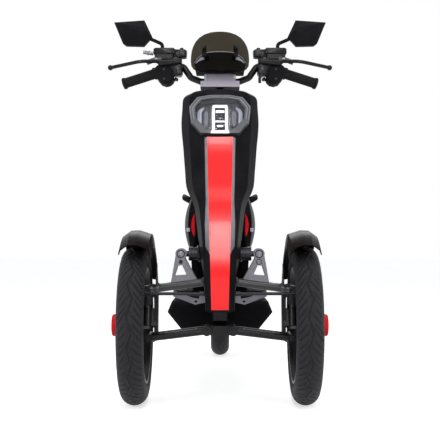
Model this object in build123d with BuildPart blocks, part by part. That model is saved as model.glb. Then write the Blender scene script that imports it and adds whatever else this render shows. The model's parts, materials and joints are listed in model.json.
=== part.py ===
"""Reverse trike: a slim electric scooter with two steered front wheels and one driven rear wheel.

Millimetres. +Z is up, the vehicle faces -Y, and the origin is on the ground under the middle of its length.
Front pieces are placed from the front axle with aft(), rear pieces from the rear axle with fore(), and all
heights from the axles with up(). Each side's pieces are drawn once for side = -1 or 1, the sign of x.
"""
import os
from math import cos, radians, sin, sqrt

from build123d import *

os.makedirs("parts", exist_ok=True)

# ---------------------------------------------------------------- driving dimensions
wheelbase = 1306.0
half_track = 259.0
tail_overhang = 322.0  # from the rear axle to the plate bracket's face
tyre_radius = 242.0
tyre_section = 64.0  # height of the tyre outside its rim
tyre_width = 80.0
gap = 0.3  # between pieces that seat on each other
running_gap = 0.05  # radial, between a shaft and its bore

overall_length = tyre_radius + wheelbase + tail_overhang
front_axle_y = tyre_radius - overall_length / 2
rear_axle_y = front_axle_y + wheelbase
tail_y = rear_axle_y + tail_overhang
axle_z = tyre_radius
rim_radius = tyre_radius - tyre_section

# steering
rake = 18.0
kingpin_inset = 37.0  # from the tyre's middle in to the kingpin
kingpin_x = half_track - kingpin_inset
kingpin_setback = 10.0
steering_arm_reach = 95.0
steering_arm_splay = 28.0
kingpin_r = 10.0
column_r = 14.0
head_tube_r = 24.0


def aft(distance):
    """Y at a distance behind the front axle."""
    return front_axle_y + distance


def fore(distance):
    """Y at a distance ahead of the rear axle."""
    return rear_axle_y - distance


def up(height):
    """Z at a height above the axles."""
    return axle_z + height


# double arms and their pivots: x from the middle, z above the axles
arm_mid_y = aft(20)
arm_bar_spacing = 64.0
upper_inner = (45.0, up(133))
upper_outer = (kingpin_x, up(109))
lower_inner = (40.0, up(-17))
lower_outer = (kingpin_x, up(-39))
arm_bar_r = 12.0
eye_r = 15.0
eye_length = 24.0
rocker_x, rocker_z = 120.0, up(219)


def raked_plane(x, s):
    """Plane square to a raked axis at x, s along it from the axle's height; its own y runs to the rear."""
    axis = Vector(0, sin(radians(rake)), cos(radians(rake)))
    return Plane(origin=Vector(x, aft(kingpin_setback), axle_z) + axis * s, x_dir=(1, 0, 0), z_dir=axis)


def kingpin_plane(side, s):
    return raked_plane(side * kingpin_x, s)


def column_plane(s):
    return raked_plane(0, s)


def side_plane(x):
    """Plane facing +X at x; its own x is +Y and its own y is +Z."""
    return Plane(origin=(x, 0, 0), x_dir=(0, 1, 0), z_dir=(1, 0, 0))


def front_plane(y):
    """Plane facing -Y at y; its own x is +X and its own y is +Z."""
    return Plane(origin=(0, y, 0), x_dir=(1, 0, 0), z_dir=(0, -1, 0))


def wheel_plane(x, axle_y):
    """Plane of a wheel's section: its own x is +X from x, its own y is the radius, upwards."""
    return Plane(origin=(x, axle_y, axle_z), x_dir=(1, 0, 0), z_dir=(0, -1, 0))


def mirrored(points):
    """An outline's right half followed by its left half; both start and end off the middle."""
    return [*points, *[(-x, y) for x, y in reversed(points)]]


def save(builder, name):
    builder.part.label = name
    export_step(builder.part, "parts/" + name + ".step")


def side_name(side):
    """The rider faces -Y, so their left is +X."""
    return "left" if side > 0 else "right"


def slope(before, after):
    """Slope of a curve that passes a point without overshooting it, from the slopes on both sides."""
    return 0 if before * after <= 0 else 2 * before * after / (before + after)


def smooth_row(rows, place):
    """The row at place, on a curve through a table's rows; each row starts with its own place."""
    index = next(i for i in range(len(rows) - 1) if place <= rows[i + 1][0])
    low, high = rows[index], rows[index + 1]
    step = high[0] - low[0]
    t = (place - low[0]) / step
    row = [place]
    for column in range(1, len(low)):
        rate = (high[column] - low[column]) / step
        before = after = rate
        if index:
            before = (low[column] - rows[index - 1][column]) / (low[0] - rows[index - 1][0])
        if index + 2 < len(rows):
            after = (rows[index + 2][column] - high[column]) / (rows[index + 2][0] - high[0])
        leave, reach = slope(before, rate) * step, slope(rate, after) * step
        row.append(low[column] * (2 * t**3 - 3 * t**2 + 1) + leave * (t**3 - 2 * t**2 + t)
                   + high[column] * (3 * t**2 - 2 * t**3) + reach * (t**3 - t**2))
    return row


def even_steps(rows, count, short=0.0):
    """Rows at even places along a table; short ends the last one early."""
    first, last = rows[0][0], rows[-1][0]
    places = [first + (last - first) * i / (count - 1) for i in range(count)]
    places[-1] -= short
    return [smooth_row(rows, place) for place in places]


# ---------------------------------------------------------------- wheels
tread_drop = 16.0
shoulder_in, bead_in = 7.0, 10.0  # the shoulder and the bead, in from the tyre's side
spoke_count = 5
hub_r = 30.0
hub_flange_r = 46.0
stub_axle_r = 11.0
hub_face = 54.0  # hub's outer face, out from the wheel's middle
hub_root = 4.0
rim_lip = 8.0
rim_wall = 6.0
rim_well = 12.0
disc_r = 84.0
disc_offset = 17.0
disc_thickness = 4.0
spoke_offset = 32.0
spoke_thickness = 8.0
cap_r = 34.0
cap_length = 18.0
drum_r = 105.0
drum_width = 84.0
drum_step = 14.0
drum_boss_r = 34.0
rear_spoke_thickness = 24.0


def tyre(middle_x, axle_y):
    half = tyre_width / 2
    seat, shoulder = rim_radius + gap, tyre_radius - tread_drop
    bead_x, shoulder_x, widest = half - bead_in, half - shoulder_in, (half, (seat + shoulder) / 2)
    with BuildPart() as solid:
        with BuildSketch(wheel_plane(middle_x, axle_y)):
            with BuildLine():
                Line((-bead_x, seat), (bead_x, seat))
                ThreePointArc((bead_x, seat), widest, (shoulder_x, shoulder))
                ThreePointArc((shoulder_x, shoulder), (0, tyre_radius), (-shoulder_x, shoulder))
                ThreePointArc((-shoulder_x, shoulder), (-half, widest[1]), (-bead_x, seat))
            make_face()
        revolve(axis=Axis((middle_x, axle_y, axle_z), (1, 0, 0)))
    return solid


def rim_barrel(middle_x, axle_y):
    """The rim's ring, with a well between its two lips."""
    half, inside = tyre_width / 2 - 4, rim_radius - rim_lip
    with BuildSketch(wheel_plane(middle_x, axle_y)) as section:
        Polygon(
            (-half, rim_radius),
            (half, rim_radius),
            (half, inside),
            (half - rim_well, inside - rim_wall),
            (-half + rim_well, inside - rim_wall),
            (-half, inside),
            align=None,
        )
    revolve(section.sketch, axis=Axis((middle_x, axle_y, axle_z), (1, 0, 0)))


def spokes(x, axle_y, thickness, root_r, root_width, tip_width):
    """Straight spokes that narrow towards the rim, from root_r into its inside."""
    tip_r = rim_radius - rim_lip - 3
    with BuildSketch(Plane(origin=(x, axle_y, axle_z), x_dir=(0, 0, 1), z_dir=(1, 0, 0))) as star:
        with PolarLocations(0, spoke_count):
            Polygon(
                (root_r, -root_width / 2),
                (tip_r, -tip_width / 2),
                (tip_r, tip_width / 2),
                (root_r, root_width / 2),
                align=None,
            )
    extrude(star.sketch, amount=thickness / 2, both=True)


def front_rim(side):
    middle = side * half_track
    disc_seat = disc_offset + disc_thickness / 2 + gap
    with BuildPart() as solid:
        rim_barrel(middle, front_axle_y)
        with BuildSketch(wheel_plane(middle, front_axle_y)):
            Polygon(
                (side * hub_root, stub_axle_r + running_gap),
                (side * hub_face, stub_axle_r + running_gap),
                (side * hub_face, hub_r),
                (side * (spoke_offset + spoke_thickness), hub_flange_r),
                (side * disc_seat, hub_flange_r),
                (side * disc_seat, hub_r),
                (side * hub_root, hub_r),
                align=None,
            )
        revolve(axis=Axis((middle, front_axle_y, axle_z), (1, 0, 0)))
        spokes(middle + side * spoke_offset, front_axle_y, spoke_thickness, hub_flange_r - 8, 46, 26)
    return solid


def brake_disc(side):
    centre = (side * (half_track + disc_offset), front_axle_y, axle_z)
    vent_r, vent_ring_r, vents = 6.0, 64.0, 12
    with BuildPart() as solid:
        with BuildSketch(Plane(origin=centre, x_dir=(0, 1, 0), z_dir=(1, 0, 0))):
            Circle(disc_r)
            Circle(hub_r + gap, mode=Mode.SUBTRACT)
            with PolarLocations(vent_ring_r, vents):
                Circle(vent_r, mode=Mode.SUBTRACT)
        extrude(amount=disc_thickness / 2, both=True)
    return solid


def hub_cap(side):
    """A round cap over the axle's end, hollow to clear it."""
    cap_wall, rounding = 6.0, 6.0
    start = side * (half_track + hub_face + gap)
    with BuildPart() as solid:
        with BuildSketch(Plane(origin=(start, front_axle_y, axle_z), x_dir=(0, 1, 0), z_dir=(side, 0, 0))):
            Circle(cap_r)
        extrude(amount=cap_length)
        fillet(solid.faces().sort_by(Axis.X)[-1 if side > 0 else 0].edges(), radius=rounding)
        with BuildSketch(Plane(origin=(start, front_axle_y, axle_z), x_dir=(0, 1, 0), z_dir=(side, 0, 0))):
            Circle(stub_axle_r + 3)
        extrude(amount=cap_length - cap_wall, mode=Mode.SUBTRACT)
    return solid


def rear_rim():
    """Rim, spokes and the drum of the motor in the hub."""
    half = drum_width / 2
    with BuildPart() as solid:
        rim_barrel(0, rear_axle_y)
        with BuildSketch(wheel_plane(0, rear_axle_y)):
            Polygon(
                (-half, stub_axle_r + running_gap),
                (half, stub_axle_r + running_gap),
                (half, drum_boss_r),
                (half - 12, drum_r - drum_step),
                (half - 20, drum_r),
                (-half + 20, drum_r),
                (-half + 12, drum_r - drum_step),
                (-half, drum_boss_r),
                align=None,
            )
        revolve(axis=Axis((0, rear_axle_y, axle_z), (1, 0, 0)))
        spokes(0, rear_axle_y, rear_spoke_thickness, drum_r - 6, 52, 36)
    return solid


for side in (-1, 1):
    label = side_name(side)
    save(tyre(side * half_track, front_axle_y), "tyre_front_" + label)
    save(front_rim(side), "rim_front_" + label)
    save(brake_disc(side), "disc_front_" + label)
    save(hub_cap(side), "hub_cap_" + label)
save(tyre(0, rear_axle_y), "tyre_rear")
save(rear_rim(), "rim_rear")

# ---------------------------------------------------------------- front suspension
front_bar_y = arm_mid_y - arm_bar_spacing / 2
rear_bar_y = arm_mid_y + arm_bar_spacing / 2
barrel_length = arm_bar_spacing - eye_length - 2 * gap
cross_tube_r = 8.0
# x of the tubes between each arm's bars, near its inner and its outer end
upper_tubes = (upper_inner[0] + 45, kingpin_x - 47)
lower_tubes = (lower_inner[0] + 35, kingpin_x - 57)
rocker_thickness = 8.0
rocker_eye_r = 17.0
rocker_foot_x = (66.0, 153.0)
# the window in each rocker plate: x, z below the shock's eye
rocker_window = [(102, -65), (140, -68), (130, -37), (116, -35)]
shock_r = 19.5
shock_body_x = 97.0
shock_pin_r, shock_eye_r = 9.0, 13.0


def arm_bar(side, y, inner, outer, radius):
    """A bar with a ring at each end; the rings face the front."""
    inner_point = Vector(side * inner[0], y, inner[1])
    outer_point = Vector(side * outer[0], y, outer[1])
    run = outer_point - inner_point
    into_ring = eye_r - 3
    with BuildSketch(Plane(origin=inner_point + run.normalized() * into_ring, z_dir=run)) as bar:
        Circle(radius)
    extrude(bar.sketch, amount=run.length - 2 * into_ring)
    with BuildSketch(front_plane(y)) as rings:
        with Locations((inner_point.X, inner_point.Z), (outer_point.X, outer_point.Z)):
            Circle(eye_r)
    extrude(rings.sketch, amount=eye_length / 2, both=True)


def along_arm(inner, outer, x):
    """Height of an arm's middle line at x."""
    return inner[1] + (outer[1] - inner[1]) * (x - inner[0]) / (outer[0] - inner[0])


def cross_tube(side, inner, outer, x):
    """A tube between the front and rear bars."""
    with BuildSketch(front_plane(arm_mid_y)) as tube:
        with Locations((side * x, along_arm(inner, outer, x))):
            Circle(cross_tube_r)
    extrude(tube.sketch, amount=arm_bar_spacing / 2, both=True)


with BuildPart() as upper_arms:
    for side in (-1, 1):
        for bar_y in (front_bar_y, rear_bar_y):
            arm_bar(side, bar_y, upper_inner, upper_outer, arm_bar_r)
            with BuildSketch(front_plane(bar_y)):
                Polygon(
                    *[(side * x, along_arm(upper_inner, upper_outer, x)) for x in rocker_foot_x],
                    (side * (rocker_x + 14), rocker_z + 8),
                    (side * (rocker_x - 13), rocker_z + 9),
                    (side * (rocker_x - 13), rocker_z - 14),
                    align=None,
                )
                with Locations((side * rocker_x, rocker_z)):
                    Circle(rocker_eye_r)
                Polygon(*[(side * x, rocker_z + z) for x, z in rocker_window], align=None, mode=Mode.SUBTRACT)
            extrude(amount=rocker_thickness / 2, both=True)
        for x in upper_tubes:
            cross_tube(side, upper_inner, upper_outer, x)
save(upper_arms, "upper_arms")

with BuildPart() as lower_arms:
    for side in (-1, 1):
        for bar_y in (front_bar_y, rear_bar_y):
            arm_bar(side, bar_y, lower_inner, lower_outer, arm_bar_r - 1)
        for x in lower_tubes:
            cross_tube(side, lower_inner, lower_outer, x)
save(lower_arms, "lower_arms")

with BuildPart() as cross_shock:
    eye_width = arm_bar_spacing - rocker_thickness - 2 * gap
    for radius, end_x in ((shock_r, shock_body_x), (shock_pin_r, rocker_x)):
        with BuildSketch(side_plane(-end_x)):
            with Locations((arm_mid_y, rocker_z)):
                Circle(radius)
        extrude(amount=2 * end_x)
    # collars at the body's two ends
    for x in (-shock_body_x, shock_body_x - 14):
        with BuildSketch(side_plane(x)):
            with Locations((arm_mid_y, rocker_z)):
                Circle(shock_r + 2)
        extrude(amount=14)
    with BuildSketch(front_plane(arm_mid_y)):
        with Locations((-rocker_x, rocker_z), (rocker_x, rocker_z)):
            Circle(shock_eye_r)
    extrude(amount=eye_width / 2, both=True)
save(cross_shock, "cross_shock")

# uprights: two eye barrels on a spine, with the kingpin's housing between them
housing_r = 17.0
housing_low, housing_high = -6.0, 50.0
lug_thickness = 10.0
spine_in, spine_out = 31.0, 19.0  # the spine's two faces, in from the kingpin
housing_web = (24.0, 26.0)

with BuildPart() as uprights:
    for side in (-1, 1):
        low_z, high_z = lower_outer[1], upper_outer[1]
        with BuildSketch(front_plane(arm_mid_y)):
            with Locations((side * kingpin_x, high_z), (side * kingpin_x, low_z)):
                Circle(eye_r)
            spine = [
                (spine_in, low_z - 6),
                (spine_out, low_z - 13),
                (4, low_z - 14),
                (12, low_z + 8),
                (spine_out, low_z + 20),
                (spine_out, high_z - 26),
                (4, high_z - 8),
                (4, high_z + 14),
                (spine_out, high_z + 13),
                (spine_in, high_z + 6),
            ]
            Polygon(*[(side * (kingpin_x - x), z) for x, z in spine], align=None)
        extrude(amount=barrel_length / 2, both=True)
        with BuildSketch(kingpin_plane(side, housing_low)):
            Circle(housing_r)
            with Locations((-side * (housing_r - 2), 0)):
                Rectangle(*housing_web)
        extrude(amount=housing_high - housing_low)
        with BuildSketch(kingpin_plane(side, housing_low)):
            Circle(kingpin_r + running_gap)
        extrude(amount=housing_high - housing_low, mode=Mode.SUBTRACT)
save(uprights, "uprights")

# knuckles: yoke on the kingpin, stub axle, steering arm, caliper bracket
yoke_in, yoke_out = 21.0, 33.0
yoke_width = 44.0
joint_s = 73.6  # the tie rods' height along the kingpin
stud_r = 5.0
stud_proud = 6.0
rod_end_r = 11.0
rod_end_thickness = 12.0
steer_joint = (steering_arm_splay, -steering_arm_reach)
axle_shoulder_r = 20.0
axle_past_hub = 8.0
bracket_s, bracket_height = 22.0, 26.0
bracket_back = 100.0
stay_dx = -15.0
stay_near, stay_far = 72.0, bracket_back
# caliper over the disc's rear edge: distance behind the axle, height above it
caliper_outline = [(54, 24), (104, 40), (90, 88), (40, 70)]
caliper_in, caliper_out = -4.5, 23.0  # from the wheel's middle
disc_clearance = 1.5


def axle_plane(side, x):
    """Plane square to the front axle at x, facing outwards."""
    return Plane(origin=(x, front_axle_y, axle_z), x_dir=(0, 1, 0), z_dir=(side, 0, 0))


def knuckle(side):
    low, high = housing_low - gap - lug_thickness, housing_high + gap
    lug_r = housing_r - 3
    axle_start = kingpin_x + yoke_in + 2
    arm = [(33, 12), (33, -22), (steer_joint[0] + rod_end_r, steer_joint[1]),
           (steer_joint[0] - rod_end_r, steer_joint[1]), (4, -13)]
    with BuildPart() as solid:
        with BuildSketch(kingpin_plane(side, low)):
            Circle(kingpin_r)
        extrude(amount=high + lug_thickness - low)
        for s in (low, high):
            with BuildSketch(kingpin_plane(side, s)):
                Circle(lug_r)
                with Locations((side * yoke_out / 2, 0)):
                    Rectangle(yoke_out, 2 * lug_r)
            extrude(amount=lug_thickness)
        with BuildSketch(kingpin_plane(side, low)):
            with Locations((side * (yoke_in + yoke_out) / 2, 0)):
                Rectangle(yoke_out - yoke_in, yoke_width)
        extrude(amount=high + lug_thickness - low)
        # stub axle, out into the hub cap, with a shoulder for the bearing
        for radius, end in ((stub_axle_r, hub_face + axle_past_hub), (axle_shoulder_r, hub_root - gap)):
            with BuildSketch(axle_plane(side, side * axle_start)):
                Circle(radius)
            extrude(amount=half_track + end - axle_start)
        # steering arm and the stud for the tie rod's end
        with BuildSketch(kingpin_plane(side, high)):
            Polygon(*[(side * x, y) for x, y in arm], align=None)
            with Locations((side * steer_joint[0], steer_joint[1])):
                Circle(rod_end_r)
        extrude(amount=lug_thickness)
        with BuildSketch(kingpin_plane(side, high + lug_thickness)):
            with Locations((side * steer_joint[0], steer_joint[1])):
                Circle(stud_r)
        extrude(amount=joint_s + rod_end_thickness / 2 + stud_proud - high - lug_thickness)
        # bracket to the rear that carries the caliper and the fender's stay
        with BuildSketch(kingpin_plane(side, bracket_s)):
            with Locations((side * (yoke_in + yoke_out) / 2, (10 + bracket_back) / 2)):
                Rectangle(yoke_out - yoke_in, bracket_back - 10)
            with Locations((side * (stay_dx + yoke_out) / 2, (stay_near + stay_far) / 2)):
                Rectangle(yoke_out - stay_dx, stay_far - stay_near)
        extrude(amount=bracket_height)
        with BuildSketch(side_plane(side * (half_track + caliper_in))):
            Polygon(*[(aft(y), up(z)) for y, z in caliper_outline], align=None)
        extrude(amount=side * (caliper_out - caliper_in))
        with BuildSketch(side_plane(side * (half_track + disc_offset))):
            with Locations((front_axle_y, axle_z)):
                Circle(disc_r + 2)
                Circle(hub_flange_r - 2, mode=Mode.SUBTRACT)
        extrude(amount=disc_thickness / 2 + disc_clearance, both=True, mode=Mode.SUBTRACT)
    return solid


for side in (-1, 1):
    save(knuckle(side), "knuckle_" + side_name(side))

# fender over each front tyre, on a stay behind the upright
fender_thickness = 3.5
fender_clearance = 50.0
fender_crown_r = tyre_radius + fender_clearance
fender_front_angle, fender_rear_angle = 58.0, 152.0  # from the front horizontal, over the top
stay_foot_s = bracket_s
stay_mid = (stay_near + stay_far) / 2 + kingpin_setback * cos(radians(rake))
stay_top_s = sqrt((tyre_radius + 2.5) ** 2 - stay_mid**2) - kingpin_setback * sin(radians(rake))
skirt_x = kingpin_x + stay_dx - gap - fender_thickness - half_track
# the fender's section: x from the tyre's middle, drop below the crown; the skirt's foot is added at its end
fender_section = [(41, 36), (36, 18), (12, 1), (-12, 0), (skirt_x + 6, 12)]
skirt_drop = fender_clearance + 4


def fender(side):
    angle = radians(fender_front_angle)
    start = Plane(origin=(side * half_track, front_axle_y, axle_z), x_dir=(1, 0, 0),
                  z_dir=(0, -sin(angle), -cos(angle)))
    t = fender_thickness
    outside = [*fender_section, (skirt_x, skirt_drop)]
    inside = [(skirt_x + t, skirt_drop), (skirt_x + 6 + t, 12 + t), (-12, t), (12, 1 + t), (36 - t, 18 + t),
              (41 - t, 36)]
    with BuildPart() as solid:
        with BuildSketch(start):
            Polygon(*[(side * x, fender_crown_r - drop) for x, drop in outside + inside], align=None)
        revolve(axis=Axis((0, front_axle_y, axle_z), (-1, 0, 0)),
                revolution_arc=fender_rear_angle - fender_front_angle)
        with BuildSketch(kingpin_plane(side, stay_foot_s)):
            with Locations((side * (stay_dx - gap - t / 2), (stay_near + stay_far) / 2)):
                Rectangle(t, stay_far - stay_near)
        extrude(amount=stay_top_s - stay_foot_s)
    return solid


for side in (-1, 1):
    save(fender(side), "fender_" + side_name(side))

# ---------------------------------------------------------------- steering
column_low = housing_high + gap
column_top = 818.0
ball_clearance = 0.25
rod_r = 5.0
rod_nut_r, rod_nut_length = 8.0, 20.0


def tie_rod(side):
    """A rod with a ring at each end, on the studs of the pitman arm and of the knuckle."""
    joints = [(side * steer_joint[0], steer_joint[1]), (side * (kingpin_x + steer_joint[0]), steer_joint[1])]
    into_ring = rod_end_r - 3
    length = kingpin_x - 2 * into_ring
    near_end = column_plane(joint_s).from_local_coords((joints[0][0] + side * into_ring, joints[0][1], 0))
    with BuildPart() as solid:
        with BuildSketch(column_plane(joint_s)):
            with Locations(*joints):
                Circle(rod_end_r)
        extrude(amount=rod_end_thickness / 2, both=True)
        with BuildSketch(Plane(origin=near_end, x_dir=(0, 1, 0), z_dir=(side, 0, 0))):
            Circle(rod_r)
        extrude(amount=length)
        for start in (6, length - rod_nut_length - 6):
            nut = Vector(near_end) + Vector(side * start, 0, 0)
            with BuildSketch(Plane(origin=nut, x_dir=(0, 1, 0), z_dir=(side, 0, 0))):
                RegularPolygon(rod_nut_r, 6)
            extrude(amount=rod_nut_length)
        with BuildSketch(column_plane(joint_s)):
            with Locations(*joints):
                Circle(stud_r + ball_clearance)
        extrude(amount=rod_end_thickness / 2, both=True, mode=Mode.SUBTRACT)
    return solid


for side in (-1, 1):
    save(tie_rod(side), "tie_rod_" + side_name(side))

with BuildPart() as steering_column:
    with BuildSketch(column_plane(column_low)):
        Circle(column_r)
    extrude(amount=column_top - column_low)
    # pitman arm with the studs of the two tie rods
    pitman = mirrored([(22, 10), (steer_joint[0] + 10, steer_joint[1])])
    studs = [(steer_joint[0], steer_joint[1]), (-steer_joint[0], steer_joint[1])]
    with BuildSketch(column_plane(column_low)):
        Polygon(*pitman, align=None)
        Circle(22)
        with Locations(*studs):
            Circle(rod_end_r)
    extrude(amount=lug_thickness)
    with BuildSketch(column_plane(column_low + lug_thickness)):
        with Locations(*studs):
            Circle(stud_r)
    extrude(amount=joint_s + rod_end_thickness / 2 + stud_proud - column_low - lug_thickness)
save(steering_column, "steering_column")

# handlebar: swept back, with a rise on each side of the clamp; x, y behind and z above its middle
bar_r = 11.0
bar_y, bar_z = aft(264), up(798)
bar_points = [(64, 0, 0), (98, 4, 14), (126, 10, 56), (160, 14, 50), (325, 52, 4)]
bar_bend = 18.0
bar_end = bar_points[-1][0]
grip_start, grip_r = 218.0, 17.0
grip_flange_r, grip_flange = 21.0, 7.0
grip_end = 6.0


def bar_point(side, index):
    x, back, rise = bar_points[index]
    return Vector(side * x, bar_y + back, bar_z + rise)


def grip_plane(side, x):
    """Plane square to the straight end of the bar, at a distance x from the middle; its own x is up."""
    start, end = bar_point(side, -2), bar_point(side, -1)
    run = end - start
    share = (x - bar_points[-2][0]) / (bar_end - bar_points[-2][0])
    return Plane(origin=start + run * share, x_dir=(0, 0, 1), z_dir=run)


def along_bar(x):
    """Length along the bar's straight end that spans x."""
    return x * (bar_point(1, -1) - bar_point(1, -2)).length / (bar_end - bar_points[-2][0])


with BuildPart() as handlebar:
    with BuildLine():
        FilletPolyline(*[bar_point(-1, i) for i in (4, 3, 2, 1, 0)], *[bar_point(1, i) for i in range(5)],
                       radius=bar_bend)
    with BuildSketch(Plane(origin=bar_point(-1, -1), z_dir=bar_point(-1, -2) - bar_point(-1, -1))):
        Circle(bar_r)
    sweep()
save(handlebar, "handlebar")

with BuildPart() as grips:
    grip_length = along_bar(bar_end + grip_end - grip_start)
    for start, radius, length in (
        (grip_start, grip_r, grip_length),
        (grip_start, grip_flange_r, grip_flange),
        (bar_end + grip_end - grip_flange, grip_flange_r - 1, along_bar(grip_flange)),
    ):
        with BuildSketch(grip_plane(1, start)):
            Circle(radius)
        extrude(amount=length)
    with BuildSketch(grip_plane(1, grip_start)):
        Circle(bar_r + gap)
    extrude(amount=along_bar(bar_end - grip_start) + gap, mode=Mode.SUBTRACT)
    mirror(about=Plane.YZ)
save(grips, "grips")

# switch housings: the outline from the front, x and z above the bar's middle, with a lobe for the thumb
switch_outline = [(189, 70), (208, 64), (208, 40), (206, 11), (186, -11), (159, 0), (153, 14), (175, 17)]
switch_y = bar_y + 23
switch_width = 42.0
switch_rounding = 4.0

with BuildPart() as switch_housings:
    with BuildSketch(front_plane(switch_y)):
        Polygon(*[(x, bar_z + z) for x, z in switch_outline], align=None)
    extrude(amount=switch_width / 2, both=True)
    fillet(switch_housings.edges().filter_by(Axis.Y), radius=switch_rounding)
    chamfer(switch_housings.faces().sort_by(Axis.Y)[0].edges(), length=3)
    with BuildSketch(grip_plane(1, 150)):
        Circle(bar_r + gap)
    extrude(amount=along_bar(80), mode=Mode.SUBTRACT)
    mirror(about=Plane.YZ)
save(switch_housings, "switch_housings")

# brake master cylinders: a reservoir over each switch housing, on a clamp
reservoir_x, reservoir_low, reservoir_height = 186.0, bar_z + 72, 26.0
reservoir_top = reservoir_low + reservoir_height
clamp_x, clamp_length = 161.0, 14.0
cylinder_start, cylinder_end, cylinder_r = 148.0, 204.0, 9.0
cylinder_y, cylinder_z = bar_y - 30, reservoir_low - 8

with BuildPart() as master_cylinders:
    with BuildSketch(Plane.XY.offset(reservoir_low)):
        with Locations((reservoir_x, bar_y - 20)):
            RectangleRounded(66, 40, 8)
    extrude(amount=reservoir_height)
    chamfer(master_cylinders.faces().sort_by(Axis.Z)[-1].edges(), length=3)
    with BuildSketch(grip_plane(1, clamp_x)):
        RectangleRounded(52, 34, 6)
    extrude(amount=clamp_length)
    # cylinder that the lever pushes, under the reservoir
    with BuildSketch(side_plane(cylinder_start)):
        with Locations((cylinder_y, cylinder_z)):
            Circle(cylinder_r)
    extrude(amount=cylinder_end - cylinder_start)
    with BuildSketch(grip_plane(1, clamp_x - 2)):
        Circle(bar_r + gap)
    extrude(amount=clamp_length + 4, mode=Mode.SUBTRACT)
    mirror(about=Plane.YZ)
save(master_cylinders, "master_cylinders")

# brake levers, from the cylinder's end to a ball
lever_r, lever_ball_r, lever_bend = 6.0, 9.0, 60.0
lever_root = Vector(cylinder_end + lever_r / 2 + gap, cylinder_y - 3, cylinder_z - 1)
lever_points = [lever_root, Vector(262, bar_y - 64, bar_z + 58), Vector(366, bar_y - 42, bar_z + 40)]

with BuildPart() as brake_levers:
    with BuildLine():
        FilletPolyline(*lever_points, radius=lever_bend)
    with BuildSketch(Plane(origin=lever_points[0], z_dir=lever_points[1] - lever_points[0])):
        Circle(lever_r)
    sweep()
    with Locations(lever_points[-1]):
        Sphere(lever_ball_r)
    mirror(about=Plane.YZ)
save(brake_levers, "brake_levers")

# mirrors: a bent stem and a creased head on each side; x and z above the bar's middle
mirror_y = bar_y - 20
stem_r, stem_bend = 6.0, 12.0
stem_points = [
    (194, mirror_y, reservoir_top + gap),
    (194, mirror_y, bar_z + 124),
    (262, mirror_y, bar_z + 154),
]
mirror_outline = [(228, 148), (254, 203), (356, 196), (328, 128), (316, 118.5), (256, 117)]
mirror_ridge = [(246, 165), (257, 174), (334, 190), (312, 180), (302, 175), (262, 157)]
mirror_back, mirror_rim, mirror_front = 16.0, 8.0, 20.0

with BuildPart() as mirrors:
    with BuildLine():
        FilletPolyline(*stem_points, radius=stem_bend)
    with BuildSketch(Plane(origin=stem_points[0], z_dir=(0, 0, 1))):
        Circle(stem_r)
    sweep()
    # the rim round the glass, then the shell that narrows to its crease in front
    with BuildSketch(front_plane(mirror_y + mirror_back)) as rim:
        Polygon(*[(x, bar_z + z) for x, z in mirror_outline], align=None)
    extrude(rim.sketch, amount=mirror_back + mirror_rim)
    shell = []
    for outline, y in ((mirror_outline, -mirror_rim), (mirror_ridge, -mirror_rim - mirror_front)):
        with BuildSketch(front_plane(mirror_y + y)) as section:
            Polygon(*[(x, bar_z + z) for x, z in outline], align=None)
        shell.append(section.sketch)
    loft(shell, ruled=True)
    mirror(about=Plane.YZ)
save(mirrors, "mirrors")

# clamp cover: a wide foot and a narrower top round the bar's middle
clamp_foot, clamp_step, clamp_top = bar_z - 23, bar_z - 3, bar_z + 23

with BuildPart() as clamp_cover:
    for low, high, width, depth in ((clamp_foot, clamp_step, 132, 76), (clamp_step, clamp_top, 106, 70)):
        with BuildSketch(Plane.XY.offset(low)):
            with Locations((0, bar_y)):
                RectangleRounded(width, depth, 10)
        extrude(amount=high - low)
    chamfer(clamp_cover.faces().sort_by(Axis.Z)[-1].edges(), length=4)
    with BuildSketch(side_plane(-100)):
        with Locations((bar_y, bar_z)):
            Circle(bar_r + gap)
    extrude(amount=200, mode=Mode.SUBTRACT)
    with BuildSketch(column_plane(column_top - 60)):
        Circle(column_r + gap)
    extrude(amount=60 + gap, mode=Mode.SUBTRACT)
save(clamp_cover, "clamp_cover")

# instrument pod: what is left where its side and front outlines cross; y behind and z above the bar's middle
pod_low = clamp_top - bar_z + gap
pod_side = [(-60, pod_low), (26, pod_low), (30, 42), (-14, 90), (-52, 92), (-66, 58)]
pod_front = [(80, pod_low), (87, 60), (40, 91)]
pod_rounding = 6.0
visor_r = 150.0
visor_thickness = 3.0
visor_lean = 20.0
visor_bolt_x, visor_bolt_z = 52.0, bar_z + 100
visor_ear = 7.0
visor_plane = Plane(origin=(0, bar_y - 118 + visor_r, bar_z + 20), x_dir=(1, 0, 0),
                    z_dir=(0, sin(radians(visor_lean)), cos(radians(visor_lean))))

with BuildPart() as instrument_pod:
    with BuildSketch(side_plane(-90)):
        Polygon(*[(bar_y + y, bar_z + z) for y, z in pod_side], align=None)
    extrude(amount=180)
    with BuildSketch(front_plane(bar_y - 100)):
        Polygon(*mirrored([(x, bar_z + z) for x, z in pod_front]), align=None)
    extrude(amount=-200, mode=Mode.INTERSECT)
    fillet(instrument_pod.edges().filter_by(Axis.X), radius=pod_rounding)
    # ears that the visor is bolted to, cut to its curved inside
    with BuildSketch(front_plane(bar_y - 40)):
        for x in (-visor_bolt_x, visor_bolt_x):
            with Locations((x, visor_bolt_z)):
                Circle(visor_ear)
            with Locations((x, visor_bolt_z - 18)):
                Rectangle(2 * visor_ear, 36)
    extrude(amount=80)
    with BuildSketch(visor_plane):
        Rectangle(600, 600)
        Circle(visor_r - visor_thickness - gap, mode=Mode.SUBTRACT)
    extrude(amount=200, mode=Mode.SUBTRACT)
save(instrument_pod, "instrument_pod")

# visor: a curved screen, cut to its outline seen from the front
visor_edge = [(72, 32), (94, 52), (99.5, 88)]
visor_top = bar_z + 167

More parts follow.
